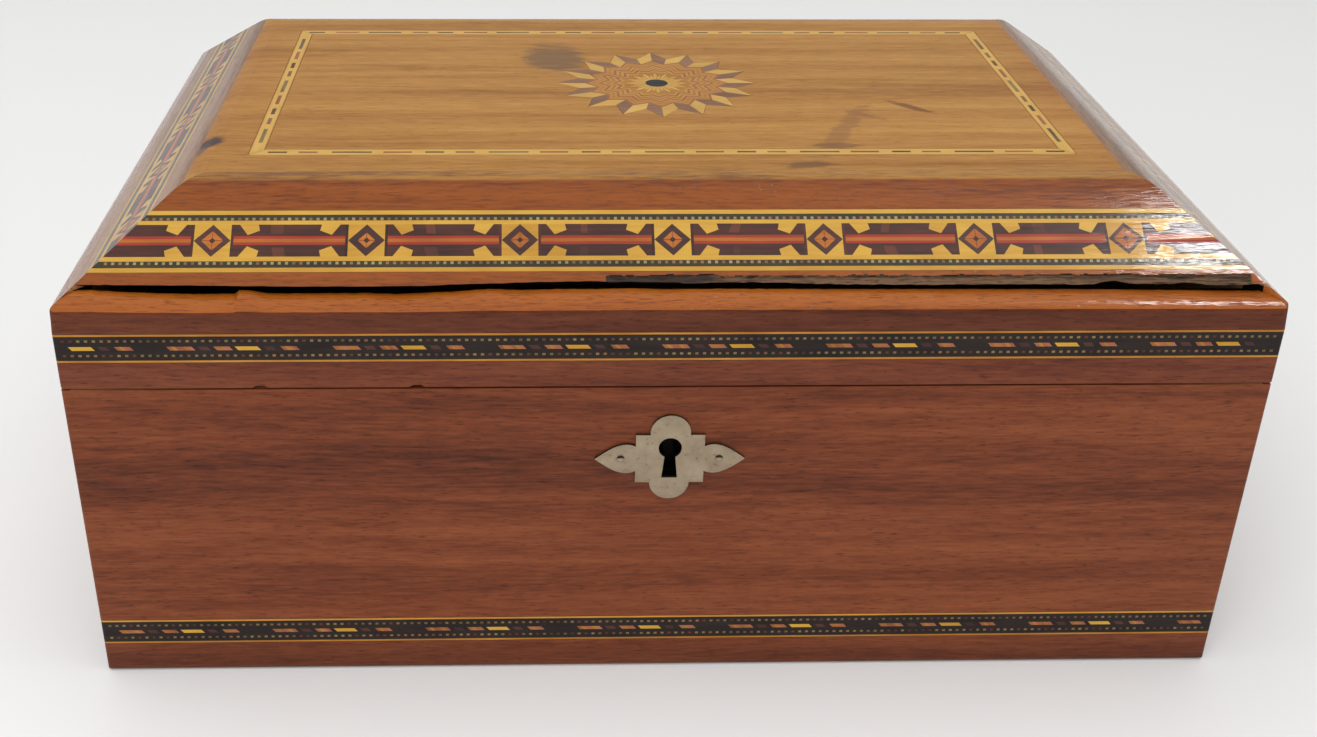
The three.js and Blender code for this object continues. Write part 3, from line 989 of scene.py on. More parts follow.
class Marquetry:
    """A picture of flush veneers, laid as one thin slab of fitted pieces."""

    def __init__(self, outline: Sequence[Point], ground: Tone) -> None:
        """Starts with the whole outline in one veneer.

        Args:
            outline: The picture's edge.
            ground: The veneer between the other pieces.
        """
        self.pieces: list[tuple[list[Vector], Tone]] = []
        self.scores: list[tuple[Point, Point]] = []
        self.lay(outline, ground)

    def lay(self, outline: Sequence[Point], tone: Tone) -> None:
        """Lets one piece of veneer in over what is there.

        Args:
            outline: The piece's edge.
            tone: Its veneer.
        """
        points = [Vector(point) for point in outline]
        turned = sum(a.cross(b) for a, b in zip(points, points[1:] + points[:1]))
        self.pieces.append((points if turned > 0 else points[::-1], tone))

    def strip(
        self, start: float, end: float, low: float, high: float, tone: Tone, slant: float = 0.0
    ) -> None:
        """Lets a straight strip in.

        Args:
            start: Where it begins along the band.
            end: Where it ends.
            low: Its lower edge across the band.
            high: Its upper edge.
            tone: Its veneer.
            slant: How far its upper edge is shifted along the band.
        """
        self.lay([(start, low), (end, low), (end + slant, high), (start + slant, high)], tone)

    def score(self, start: Point, end: Point) -> None:
        """Marks a line at which the slab may bend.

        Args:
            start: Where the line begins.
            end: Where it ends.
        """
        self.scores.append((start, end))

    def slab(
        self, spot: Callable[[float, float, float], Vector], thickness: float, grain: Grain, coat: float
    ) -> tuple[bmesh.types.BMesh, list[bpy.types.Material]]:
        """Builds the slab.

        Args:
            spot: Gives the place of a point of the picture at a depth below its surface.
            thickness: The slab's thickness.
            grain: The way that the veneers' grain runs.
            coat: How strongly the varnish over them mirrors.

        Returns:
            The mesh in millimetres and its materials.
        """
        points, cells, edges = [], [], []
        for outline, _ in self.pieces:
            cells.append(list(range(len(points), len(points) + len(outline))))
            points.extend(outline)
        for start, end in self.scores:
            edges.append((len(points), len(points) + 1))
            points.extend((Vector(start), Vector(end)))
        laid, _, faces, _, _, owners = delaunay_2d_cdt(points, edges, cells, 1, 1e-4, True)
        tones = list(dict.fromkeys(tone for _, tone in self.pieces))
        dice = random.Random(SEED)
        shades = [dice.uniform(-1, 1) for _ in self.pieces]
        mesh = bmesh.new()
        layer = mesh.faces.layers.float.new("shade")
        top = [mesh.verts.new(spot(point.x, point.y, 0)) for point in laid]
        under = [mesh.verts.new(spot(point.x, point.y, thickness)) for point in laid]
        sides: dict[tuple[int, int], int] = {}

        def add_face(corners: Sequence[bmesh.types.BMVert], piece: int) -> None:
            """Adds one face in the veneer of the piece that it belongs to."""
            face = mesh.faces.new(corners)
            face.material_index = tones.index(self.pieces[piece][1])
            face[layer] = shades[piece]

        for corners, owner in zip(faces, owners):
            if not owner:
                continue
            add_face([top[corner] for corner in corners], max(owner))
            add_face([under[corner] for corner in corners[::-1]], max(owner))
            for edge in zip(corners, corners[1:] + corners[:1]):
                sides[edge] = max(owner)
        for (first, second), piece in sides.items():
            if (second, first) not in sides:
                add_face((top[second], top[first], under[first], under[second]), piece)
        loose = [vertex for vertex in mesh.verts if not vertex.link_faces]
        bmesh.ops.delete(mesh, geom=loose, context="VERTS")
        bmesh.ops.recalc_face_normals(mesh, faces=mesh.faces)
        return mesh, [tone.value.material(grain, coat) for tone in tones]


@dataclass(frozen=True)
class Inlay(ABC):
    """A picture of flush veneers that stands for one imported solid."""

    side: Side
    sizes: CaseSizes

    @abstractmethod
    def spot(self, along: float, across: float, depth: float) -> Vector:
        """The place of a point of the picture at a depth below its surface.

        Args:
            along: The point's place along the picture.
            across: Its place across it.
            depth: The depth.

        Returns:
            The place in the box's frame.
        """

    @abstractmethod
    def picture(self) -> Marquetry:
        """Draws the veneers.

        Returns:
            The picture.
        """

    def build(self, body: str, node: str, slot: str, coat: float = THIN_COAT) -> None:
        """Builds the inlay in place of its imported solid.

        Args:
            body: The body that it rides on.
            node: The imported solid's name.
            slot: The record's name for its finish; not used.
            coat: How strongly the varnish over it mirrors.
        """
        mesh, finishes = self.picture().slab(self.spot, self.sizes.slab, self.side.grain, coat)
        place_mesh(mesh, f"{node}_piece", body, [node], finishes)


@dataclass(frozen=True)
class Band(Inlay):
    """An inlay that runs along one side of the box."""

    @abstractmethod
    def reach(self, across: float) -> float:
        """Half the band's length at a place across it.

        Args:
            across: The place across the band.

        Returns:
            The half length.
        """

    def run(self, low: float, high: float) -> list[Point]:
        """Outline of a strip that runs the band's whole length.

        Args:
            low: The strip's lower edge across the band.
            high: Its upper edge.

        Returns:
            The outline.
        """
        near, far = self.reach(low), self.reach(high)
        return [(-near, low), (near, low), (far, high), (-far, high)]

    def lay_dots(
        self, picture: Marquetry, middle: float, dot: Point, pitch: float, tones: Sequence[Tone],
        dice: random.Random,
    ) -> None:
        """Lets a row of small dots in.

        Args:
            picture: The picture that the row belongs to.
            middle: The row's place across the band.
            dot: A dot's size along and across the band.
            pitch: Distance from dot to dot.
            tones: The veneers that the dots are cut from.
            dice: Chooses among them.
        """
        count = int((self.reach(middle) - dot[0]) / pitch)
        half, rise = dot[0] / 2, dot[1] / 2
        for number in range(-count, count + 1):
            along = number * pitch
            picture.strip(along - half, along + half, middle - rise, middle + rise, dice.choice(tones))


class Dash(Enum):
    """The kinds of dash in the side banding's middle row."""

    STRIPED = "striped"
    DIM = "dim"
    LONG = "long"


@dataclass(frozen=True)
class SideBand(Band):
    """The narrow dark banding of dots and dashes round the base and the lid."""

    low: float
    phase: float
    width: float = 8.0
    line: float = 0.55
    line_inset: float = 0.12
    dot_rows: Point = (2.0, 6.05)
    dot: Point = (0.8, 0.62)
    dot_pitch: float = 1.9
    dot_tones: tuple[Tone, ...] = (Tone.OLIVE, Tone.OLIVE, Tone.OLIVE, Tone.BRUISED, Tone.TAN)
    dash_middle: float = 4.0
    dash_height: float = 1.05
    dash_margin: float = 1.0
    slant: float = 0.9
    stripe: float = 1.1
    stripe_tones: tuple[Tone, ...] = (Tone.ROSE, Tone.GOLD, Tone.PINK)
    repeat: float = 41.5
    dashes: tuple[tuple[float, float, Dash], ...] = (
        (-16.7, 6.2, Dash.STRIPED),
        (-9.1, 2.4, Dash.DIM),
        (-5.2, 3.9, Dash.STRIPED),
        (0.0, 5.6, Dash.LONG),
        (7.1, 2.2, Dash.DIM),
        (11.2, 3.9, Dash.STRIPED),
    )

    def reach(self, across: float) -> float:
        """Half the band's length, whatever the place across it.

        Args:
            across: The place across the band.

        Returns:
            The half length.
        """
        return self.side.halves(self.sizes)[0] - self.sizes.hair_gap

    def spot(self, along: float, across: float, depth: float) -> Vector:
        """The place of a point of the band at a depth below its surface.

        Args:
            along: The point's place along the band.
            across: Its height above the underside.
            depth: The depth.

        Returns:
            The place in the box's frame.
        """
        half = self.side.halves(self.sizes)[0]
        share = (half - depth) / half
        return self.sizes.rounded(self.side.spot(self.sizes, along * share, depth, across))

    def picture(self) -> Marquetry:
        """Draws the band's veneers.

        Returns:
            The picture.
        """
        low, high = self.low + self.sizes.hair_gap, self.low + self.width - self.sizes.hair_gap
        end = self.reach(low)
        band = Marquetry(self.run(low, high), Tone.EBONY)
        dice = random.Random(SEED + int(self.low) + self.side.number)
        for middle in self.dot_rows:
            self.lay_dots(band, self.low + middle, self.dot, self.dot_pitch, self.dot_tones, dice)
        self.lay_dashes(band, end)
        for start in (self.line_inset, self.width - self.line_inset - self.line):
            band.strip(-end, end, self.low + start, self.low + start + self.line, Tone.LINE)
        for share in (0.25, 0.5, 0.75, 1.0):
            for sign in (-1, 1):
                along = sign * (end - share * self.sizes.corner_round)
                band.score((along, low), (along, high))
        return band

    def lay_dashes(self, band: Marquetry, end: float) -> None:
        """Lets the middle row of slanted dashes in.

        Args:
            band: The band's picture.
            end: Half the band's length.
        """
        low = self.low + self.dash_middle - self.dash_height / 2
        high = low + self.dash_height
        count = int(end / self.repeat) + 2
        last = end - self.dash_margin
        for number in range(-count, count + 1):
            for offset, length, kind in self.dashes:
                start = self.phase + number * self.repeat + offset
                if start < -last or start + length + self.slant > last:
                    continue
                if kind is Dash.STRIPED:
                    self.lay_stripes(band, start, length, low, high)
                else:
                    tone = Tone.YELLOW if kind is Dash.LONG else Tone.PURPLE
                    band.strip(start, start + length, low, high, tone, -self.slant)

    def lay_stripes(self, band: Marquetry, start: float, length: float, low: float, high: float) -> None:
        """Lets one dash of slanted pink and gold stripes in.

        Args:
            band: The band's picture.
            start: Where the dash begins.
            length: Its length.
            low: Its lower edge.
            high: Its upper edge.
        """
        count = max(len(self.stripe_tones), round(length / self.stripe))
        step = length / count
        for number in range(count):
            tone = self.stripe_tones[number % len(self.stripe_tones)]
            first = start + number * step
            band.strip(first, first + step, low, high, tone, -self.slant)


@dataclass(frozen=True)
class BevelBand(Band):
    """The wide bright banding in one bevel, with its squares, stripe and sawteeth."""

    inset: float = 8.3
    spread: float = 14.15
    pitch: float = 38.1
    square: float = 9.1
    cores: tuple[float, ...] = (0.55, 0.6, 0.65, 0.72, 0.6, 0.48, 0.52)
    eye: float = 0.18
    cross: float = 0.07
    stripe: float = 2.5
    stripe_core: float = 1.0
    stripe_end: float = 0.7
    bruise_place: float = 0.42
    bruise_height: float = 2.1
    bruise_half: Point = (0.8, 1.6)
    bruise_shift: float = 0.8
    bruise_margin: float = 3.0
    tooth: tuple[Point, ...] = ((6.55, 0.0), (11.2, 0.0), (11.6, 1.7), (8.65, 2.95))
    tooth_margin: float = 1.0
    main: Point = (11.85, 19.15)
    lines: tuple[Point, ...] = ((8.36, 9.35), (10.83, 11.85), (19.15, 20.06), (21.41, 22.38))
    dot_rows: tuple[Point, ...] = ((10.06, 10.68), (20.12, 20.74))
    dot_length: float = 0.75
    dot_pitch: float = 1.77

    @property
    def fold(self) -> float:
        """What a width on the bevel becomes as an inset."""
        return math.cos(self.sizes.tilt)

    def reach(self, across: float) -> float:
        """Half the band's length at an inset.

        Args:
            across: The inset from the box's face.

        Returns:
            The half length.
        """
        return self.side.halves(self.sizes)[0] - across - self.sizes.hair_gap

    def spot(self, along: float, across: float, depth: float) -> Vector:
        """The place of a point of the band at a depth below the bevel.

        Args:
            along: The point's place along the band.
            across: Its inset from the box's face.
            depth: The depth.

        Returns:
            The place in the box's frame.
        """
        half = self.side.halves(self.sizes)[0]
        deeper = across + depth * math.sin(self.sizes.tilt)
        height = self.sizes.surface(across) - depth * math.cos(self.sizes.tilt)
        share = (half - deeper) / (half - across)
        return self.side.spot(self.sizes, along * share, deeper, height)

    def picture(self) -> Marquetry:
        """Draws the band's veneers.

        Returns:
            The picture.
        """
        gap = self.sizes.hair_gap
        band = Marquetry(self.run(self.inset + gap, self.inset + self.spread - gap), Tone.SOOTY)
        dice = random.Random(SEED + self.side.number)
        for low, high in self.dot_rows:
            size = (self.dot_length, high - low)
            self.lay_dots(band, (low + high) / 2, size, self.dot_pitch, (Tone.PALE, Tone.TAN), dice)
        band.lay(self.run(*self.main), Tone.ROSEWOOD)
        middle = sum(self.main) / 2
        for width, tone in ((self.stripe, Tone.RED), (self.stripe_core, Tone.ORANGE)):
            half = width * self.fold / 2
            band.lay(self.run(middle - half, middle + half), tone)
        count = int(self.reach(middle) / self.pitch)
        for number in range(-count, count + 1):
            self.lay_bruise(band, (number + self.bruise_place) * self.pitch, dice)
            self.lay_ornament(band, number * self.pitch, self.cores[number % len(self.cores)])
        for line in self.lines:
            band.lay(self.run(*line), Tone.YELLOW)
        return band

    def lay_bruise(self, band: Marquetry, middle: float, dice: random.Random) -> None:
        """Lets two small browner patches in beside the stripe.

        Args:
            band: The band's picture.
            middle: Their place along the band.
            dice: Chooses their sizes.
        """
        low, high = self.main
        for start, end in ((low, low + self.bruise_height), (high - self.bruise_height, high)):
            half = dice.uniform(*self.bruise_half)
            shift = dice.uniform(-self.bruise_shift, self.bruise_shift)
            first, last = middle + shift - half, middle + shift + half
            if max(-first, last) + self.bruise_margin < self.reach(high):
                band.strip(first, last, start, end, Tone.BRUISED, dice.uniform(-1, 1))

    def lay_ornament(self, band: Marquetry, middle: float, core: float) -> None:
        """Lets one square with its diamond, and the four teeth beside it, in.

        Args:
            band: The band's picture.
            middle: The square's place along the band.
            core: Size of the diamond's core as a share of the diamond.
        """
        low, high = self.main
        centre = (low + high) / 2
        half = self.square / 2
        rise = (high - low) / 2
        if self.reach(high) - abs(middle) < half:
            return
        flank = half + self.stripe_end
        band.strip(middle - flank, middle + flank, low, high, Tone.ROSEWOOD)
        band.strip(middle - half, middle + half, low, high, Tone.YELLOW)
        for size, tone in ((1.0, Tone.PURPLE), (core, Tone.ORANGE), (self.eye, Tone.EBONY)):
            a, b = half * size, rise * size
            corners = [(middle - a, centre), (middle, centre - b), (middle + a, centre), (middle, centre + b)]
            band.lay(corners, tone)
        for a, b in ((self.cross, rise * core), (half * core, self.cross)):
            band.strip(middle - a, middle + a, centre - b, centre + b, Tone.BRUISED)
        for turn in (-1, 1):
            for edge, inward in ((low, 1), (high, -1)):
                outline = [
                    (middle + turn * along, edge + inward * deep * self.fold) for along, deep in self.tooth
                ]
                if max(abs(point[0]) for point in outline) < self.reach(high) - self.tooth_margin:
                    band.lay(outline, Tone.YELLOW)


@dataclass(frozen=True)
class TopString(Band):
    """One side of the thin string frame let into the flat top."""

    inset_ends: float = 43.2
    inset_long: float = 46.0
    width: float = 3.8
    line: float = 1.35
    end_trim: float = 0.3
    repeat: float = 41.2
    dashes: tuple[tuple[float, float, Tone], ...] = (
        (0.0, 10.5, Tone.OLIVE),
        (13.5, 7.5, Tone.ROSE),
        (24.5, 5.0, Tone.UMBER),
        (32.5, 5.0, Tone.TAN),
    )

    @property
    def insets(self) -> Point:
        """Inset of this side's outer edge, and of its two neighbours'."""
        both = (self.inset_long, self.inset_ends)
        return both if self.side.is_long else both[::-1]

    def reach(self, across: float) -> float:
        """Half the string's length at a place across it.

        Args:
            across: The place across the string.

        Returns:
            The half length.
        """
        return self.side.halves(self.sizes)[0] - self.insets[1] - across - self.sizes.hair_gap

    def spot(self, along: float, across: float, depth: float) -> Vector:
        """The place of a point of the string at a depth below the top.

        Args:
            along: The point's place along the string.
            across: Its place across it.
            depth: The depth.

        Returns:
            The place in the box's frame.
        """
        return self.side.spot(self.sizes, along, self.insets[0] + across, self.sizes.lid_top - depth)

    def picture(self) -> Marquetry:
        """Draws the string's veneers.

        Returns:
            The picture.
        """
        gap = self.sizes.hair_gap
        string = Marquetry(self.run(gap, self.width - gap), Tone.HONEY)
        trim = gap if self.side.is_long else self.end_trim
        string.lay(self.run(trim, self.width - trim), Tone.CREAM)
        low, high = self.line, self.width - self.line
        end = self.reach(high)
        count = int(end / self.repeat) + 2
        for number in range(-count, count):
            for offset, length, tone in self.dashes:
                start = number * self.repeat + offset - self.dashes[0][1] / 2
                if start > -end and start + length < end:
                    string.strip(start, start + length, low, high, tone)
        return string


@dataclass(frozen=True)
class Star(Inlay):
    """The sixteen-point star in the middle of the flat top."""

    middle: Point = (1.8, 2.8)
    points: int = 16
    tip: float = 29.3
    valley: float = 23.1
    tip_foot: float = 21.3
    valley_foot: float = 18.1
    ring_end: float = 10.4
    ring_step: float = 1.02
    ring_tones: tuple[Tone, ...] = (Tone.ROSE, Tone.HONEY, Tone.GOLD, Tone.HONEY)
    petal: Point = (3.1, 9.2)
    petal_bulge: float = 0.68
    petal_width: float = 0.36
    short_petal: float = 0.8
    disc: float = 3.3

    def at(self, steps: float, radius: float) -> Point:
        """A point by how many half points round it is, and how far out.

        Args:
            steps: Half points round from the right.
            radius: Distance from the star's middle.

        Returns:
            The point.
        """
        angle = math.pi * steps / self.points
        return (self.middle[0] + radius * math.cos(angle), self.middle[1] + radius * math.sin(angle))

    def spot(self, along: float, across: float, depth: float) -> Vector:
        """The place of a point of the star at a depth below the top.

        Args:
            along: The point's place along X.
            across: Its place along Y.
            depth: The depth.

        Returns:
            The place in the box's frame.
        """
        return Vector((along, across, self.sizes.lid_top - depth))

    def ring(self, tips: float, valleys: float) -> list[Point]:
        """A zigzag ring.

        Args:
            tips: Distance of its tips from the middle.
            valleys: Distance of the corners between them.

        Returns:
            The outline.
        """
        return [self.at(number, valleys if number % 2 else tips) for number in range(2 * self.points)]

    def picture(self) -> Marquetry:
        """Draws the star's veneers.

        Returns:
            The picture.
        """
        star = Marquetry(self.ring(self.tip, self.valley), Tone.DUSK)
        for number in range(int((self.tip_foot - self.ring_end) / self.ring_step) + 1):
            radius = self.tip_foot - number * self.ring_step
            ring = self.ring(radius, radius * (self.valley_foot / self.tip_foot))
            star.lay(ring, self.ring_tones[number % len(self.ring_tones)])
        for ray in range(0, 2 * self.points, 2):
            for turn, tone in ((1, Tone.CREAM), (-1, Tone.DUSK)):
                outline = [
                    self.at(ray, self.tip),
                    self.at(ray + turn, self.valley),
                    self.at(ray + turn, self.valley_foot),
                    self.at(ray, self.tip_foot),
                ]
                star.lay(outline, tone)
            self.lay_petal(star, ray, 1.0)
            self.lay_petal(star, ray + 1.0, self.short_petal)
        star.lay(self.ring(self.disc, self.disc), Tone.TEAL)
        return star

    def lay_petal(self, star: Marquetry, steps: float, size: float) -> None:
        """Lets one thin petal in.

        Args:
            star: The star's picture.
            steps: Half points round from the right.
            size: The petal's reach as a share of the longest.
        """
        near, far = self.petal
        bulge = (near + (far - near) * self.petal_bulge) * size
        half = self.petal_width
        outline = ((-half, near), (-half, bulge), (0.0, far * size), (half, bulge), (half, near))
        star.lay([self.at(steps + side, radius) for side, radius in outline], Tone.CREAM)


@dataclass
class Case:
    """The box's base: four mitred walls with their banding, and the bottom board."""

    sizes: CaseSizes
    band_low: float = 9.4
    band_phase: float = -5.84
    foot_round: float = 0.5
    bore_reach: float = 5.0
    bore_heights: Point = (60.0, 76.0)

    def build(self) -> None:
        """Builds the base's pieces."""
        for side in Side:
            self.wall(side)
            band = SideBand(side, self.sizes, self.band_low, self.band_phase)
            band.build("base", f"base_banding_{side.slug}", "side_banding")
        bottom = Workpiece("base_bottom")
        bottom.ease(self.foot_round, lambda first, second: max(first.z, second.z) < 1)
        bottom.dress(lambda middle, facing: PLAIN_WOOD.material(Grain.ALONG_WIDTH))
        bottom.finish("base", "plain_wood")

    def wall(self, side: Side) -> None:
        """Builds one wall.

        Args:
            side: The side that it stands on.
        """
        wall = Member(f"base_{side.slug}_wall", side, self.sizes)
        wall.ease_rim(self.sizes.base_height)
        wall.score_corners()
        wall.shape(wall.tighten)
        outer, plain, painted_shade = (wood.material(side.grain) for wood in (FACE_WOOD, PLAIN_WOOD, PAINTED_SHADE))
        thickness = self.sizes.wall

        def finish(middle: Vector, facing: Vector) -> bpy.types.Material:
            """Face wood outside, plain wood within, painted shade on the keyhole's walls."""
            along, inset = wall.measure(middle)
            # The keyhole's walls get near-black painted shade.
            if side is Side.FRONT and NEAR < inset < thickness - NEAR and abs(along) < self.bore_reach:
                if self.bore_heights[0] < middle.z < self.bore_heights[1]:
                    return painted_shade
            return outer if inset < FACE_VENEER and abs(along) < wall.half - 0.1 or inset < 0.3 else plain

        wall.dress(finish)
        wall.finish("base", "face_wood")


@dataclass
class Lid:
    """The bevelled lid: rails, mouldings, banding, flat panel, string and star."""

    sizes: CaseSizes
    band_rise: float = 7.2
    band_phase: float = -26.14
    band_repeat: float = 40.64
    lip_inset: float = 6.1
    crack: float = 1.6
    crack_depth: float = 2.4
    shoulder_drop: float = 1.9
    shoulder_face: float = 4.0
    lip_rows: tuple[float, ...] = (2.4, 3.2, 4.2, 5.2)
    lip_waver: float = 0.12
    mitre_dirt: float = 5.4
    band_inset: float = 8.3
    panel_gap: Point = (0.15, 0.02)
    lip_drops: tuple[Point, ...] = (
        (-143, -0.3), (-136, -0.85), (-128, -1.2), (-118, -1.5), (-107.8, -1.4), (-107, -0.4),
        (-104.5, -0.55), (-99.5, -1.4), (-76, -1.35), (-68, -1.65), (-54, -1.05), (-46, -0.4),
        (-38, -0.75), (-29, -0.5), (-22, -0.55), (-10, -0.35), (-4, -0.6), (14, -0.6), (44, -0.8),
        (74, -0.9), (98, -1.0), (116, -1.25), (128, -1.4), (140, -1.6),
    )
    toe_insets: tuple[Point, ...] = (
        (-142, 5.65), (-130, 5.6), (-106, 5.3), (-88, 5.1), (-64, 5.15), (-52, 5.55), (-34, 5.95),
        (-22, 6.1), (-10, 5.95), (2, 5.7), (14, 6.0), (26, 5.8), (44, 5.35), (62, 5.25), (86, 5.25),
        (104, 5.15), (107, 5.8), (110, 5.9), (113, 5.3), (124, 5.25), (127, 5.6), (130, 5.3),
        (134, 4.85), (143, 4.95),
    )
    toe_waver: float = 0.08
    toe_overlap: float = 0.2
    toe_thickness: float = 0.9
    seam_chips: tuple[Point, ...] = ((-105, -101), (-66, -62.3))
    chip_depth: float = 0.45
    chip_inset: float = 0.2
    torn_reach: Point = (-16.4, 143.6)
    torn_wide_end: float = 12.0
    torn_upper: Point = (7.45, 7.2)
    torn_upper_waver: float = 0.3
    torn_island: Point = (-13.5, 2.0)
    torn_island_inset: float = 6.2
    torn_depth: tuple[float, float, float] = (0.4, 0.35, 0.16)
    torn_insets: tuple[float, ...] = (6.35, 6.6, 6.85, 7.1, 7.3, 7.5, 7.7)
    top_finish_insets: Point = (33.2, 29.6)

    def build(self) -> None:
        """Builds the lid's pieces."""
        for side in Side:
            self.rail(side)
            self.moulding(side)
            low = self.sizes.lid_bottom + self.band_rise
            band = SideBand(side, self.sizes, low, self.band_phase, repeat=self.band_repeat)
            band.build("lid", f"lid_banding_{side.slug}", "side_banding")
            coat = FULL_COAT if side.is_long else SIDE_COAT
            BevelBand(side, self.sizes).build("lid", f"bevel_banding_{side.slug}", "bevel_banding", coat)
            TopString(side, self.sizes).build("lid", f"string_inlay_{side.slug}", "string_inlay")
        Star(Side.FRONT, self.sizes).build("lid", "star_inlay", "star_inlay")
        self.panel()

    def in_chip(self, x: float) -> bool:
        """Whether a place on the front is in one of the seam's chips.

        Args:
            x: The place along X.

        Returns:
            Yes or no.
        """
        return any(start < x < end for start, end in self.seam_chips)

    def rail(self, side: Side) -> None:
        """Builds one rail with its rounded shoulder.

        Args:
            side: The side that it lies on.
        """
        sizes = self.sizes
        rail = Member(f"lid_{side.slug}_rail", side, sizes)
        rail.ease_rim(sizes.lid_bottom)
        rail.score_corners()
        if side is Side.FRONT:
            reach = int(sizes.half_width) - 2
            rail.slice(Vector((1, 0, 0)), range(-reach, reach + 1))
            rail.slice(Vector((0, 1, 0)), self.lip_rows, Vector((0, -sizes.half_depth, 0)))
        else:
            place = side.halves(sizes)[1] - self.mitre_dirt
            rail.slice(Vector((0, 0, 1)), [sizes.shoulder])
            rail.slice(Vector((abs(side.value[1]), abs(side.value[0]), 0)), (-place, place))
        rail.shape(rail.tighten)
        if side is Side.FRONT:
            rail.shape(self.worn_rail)
        woods = (RAIL_WOOD, SHOULDER_WOOD, PLAIN_WOOD, PAINTED_SHADE)
        outer, shoulder, plain, painted_shade = (wood.material(side.grain) for wood in woods)

        def finish(middle: Vector, facing: Vector) -> bpy.types.Material:
            """Lighter wood on the shoulder, face wood below it, plain wood within, painted shade in the crack
            and in the seam's chips.
            """
            _, inset = rail.measure(middle)
            # Painted shade: the crack's floor behind the lip is near black.
            if side is Side.FRONT and inset > self.lip_inset and facing.z > 0.5:
                return painted_shade
            if inset > sizes.wall - 0.1:
                return plain
            # Painted shade on the side rails' mitre faces inside the crack.
            if side is not Side.FRONT and middle.z > sizes.shoulder and facing.z < 0.3:
                return painted_shade if inset > self.mitre_dirt else shoulder
            # Painted shade in the seam's chips.
            near_seam = middle.z < sizes.lid_bottom + 2 * self.chip_depth and inset < self.lip_rows[0]
            if side is Side.FRONT and near_seam and facing.z < -0.2 and self.in_chip(middle.x):
                return painted_shade
            if facing.z > 0.35 and inset < self.lip_inset and middle.z > sizes.shoulder - self.shoulder_face:
                return shoulder
            return outer if inset < FACE_VENEER else plain

        rail.dress(finish)
        rail.finish("lid", "face_wood")

    def worn_rail(self, point: Vector) -> Vector:
        """Makes the front rail's split edge uneven, deepens the crack behind it and chips the seam.

        Args:
            point: A point of the rail.

        Returns:
            Where the point goes.
        """
        inset = point.y + self.sizes.half_depth
        foot = self.sizes.shoulder - self.shoulder_drop
        if point.z > foot + NEAR and inset > self.lip_inset + 0.05:
            return point - Vector((0, 0, self.crack_depth))
        if point.z > foot + NEAR:
            waver = self.lip_waver * noise.noise(Vector((point.x * 0.5, 9.1, 0)))
            drop = along_table(self.lip_drops, point.x) + waver
            share = max(1 - inset / self.lip_inset, 0)
            rise = (self.sizes.joint + drop - foot) * math.sqrt(1 - share * share)
            return Vector((point.x, point.y, foot + rise))
        if point.z < self.sizes.lid_bottom + 0.5 and inset < 0.5 and self.in_chip(point.x):
            return point + Vector((0, self.chip_inset, self.chip_depth))
        return point

    def moulding(self, side: Side) -> None:
        """Builds one bevelled moulding.

        Args:
            side: The side that it lies on.
        """
        sizes = self.sizes
        moulding = Member(f"lid_{side.slug}_moulding", side, sizes)
        if side is Side.FRONT:
            self.score_toe(moulding)

        def close(point: Vector) -> Vector:
            """Brings the moulding's inner edge up to the flat panel."""
            along, inset = moulding.measure(point)
            at_mitre = moulding.at_mitre(along, inset)
            if abs(inset - (sizes.bevel_end - self.panel_gap[0])) < NEAR_MITRE:
                inset += self.panel_gap[0] - self.panel_gap[1]
            if at_mitre:
                along = moulding.to_mitre(along, inset)
            return side.spot(sizes, along, inset, point.z)

        moulding.shape(close)
        if side is Side.FRONT:
            moulding.shape(self.torn_toe)
        # The side mouldings' wood is lighter and greyer: a painted sheen.
        bevel = (BEVEL_WOOD if side.is_long else SIDE_WOOD_WITH_SHEEN).material(side.grain)
        plain, torn, painted_shade = (wood.material(side.grain) for wood in (PLAIN_WOOD, TORN_WOOD, PAINTED_SHADE))
        top = TOP_WOOD.material(Grain.ALONG_WIDTH)

        def finish(middle: Vector, facing: Vector) -> bpy.types.Material:
            """Polished wood on the bevel, with a painted sheen on the side mouldings, torn wood where its
            veneer is gone, plain wood within, painted shade under the crack.
            """
            _, inset = moulding.measure(middle)
            # Painted shade on the moulding's underside over the crack.
            if side is Side.FRONT and facing.z < -0.5 and inset < sizes.wall - 0.1:
                return painted_shade
            if inset > sizes.bevel_end - 0.1 or facing.z < 0.2:
                return plain
            if inset > self.top_finish_insets[side is Side.LEFT] and not side.is_long:
                return top
            depth = (sizes.surface(inset) - middle.z) * math.cos(sizes.tilt)
            if side is Side.FRONT and inset < self.band_inset and depth > 0.12:
                return torn
            return bevel

        moulding.dress(finish)
        moulding.finish("lid", "bevel_wood")

    def score_toe(self, moulding: Workpiece) -> None:
        """Scores the front moulding's lower edge finely, for its torn veneer.

        Args:
            moulding: The front moulding.
        """
        sizes = self.sizes
        reach = int(sizes.half_width) - 8
        moulding.slice(Vector((1, 0, 0)), range(-reach, reach + 1))
        slope = Vector((0, math.cos(sizes.tilt), math.sin(sizes.tilt)))
        foot = Vector((0, -sizes.half_depth, sizes.shoulder))
        moulding.slice(slope, [inset / math.cos(sizes.tilt) for inset in self.torn_insets], foot)

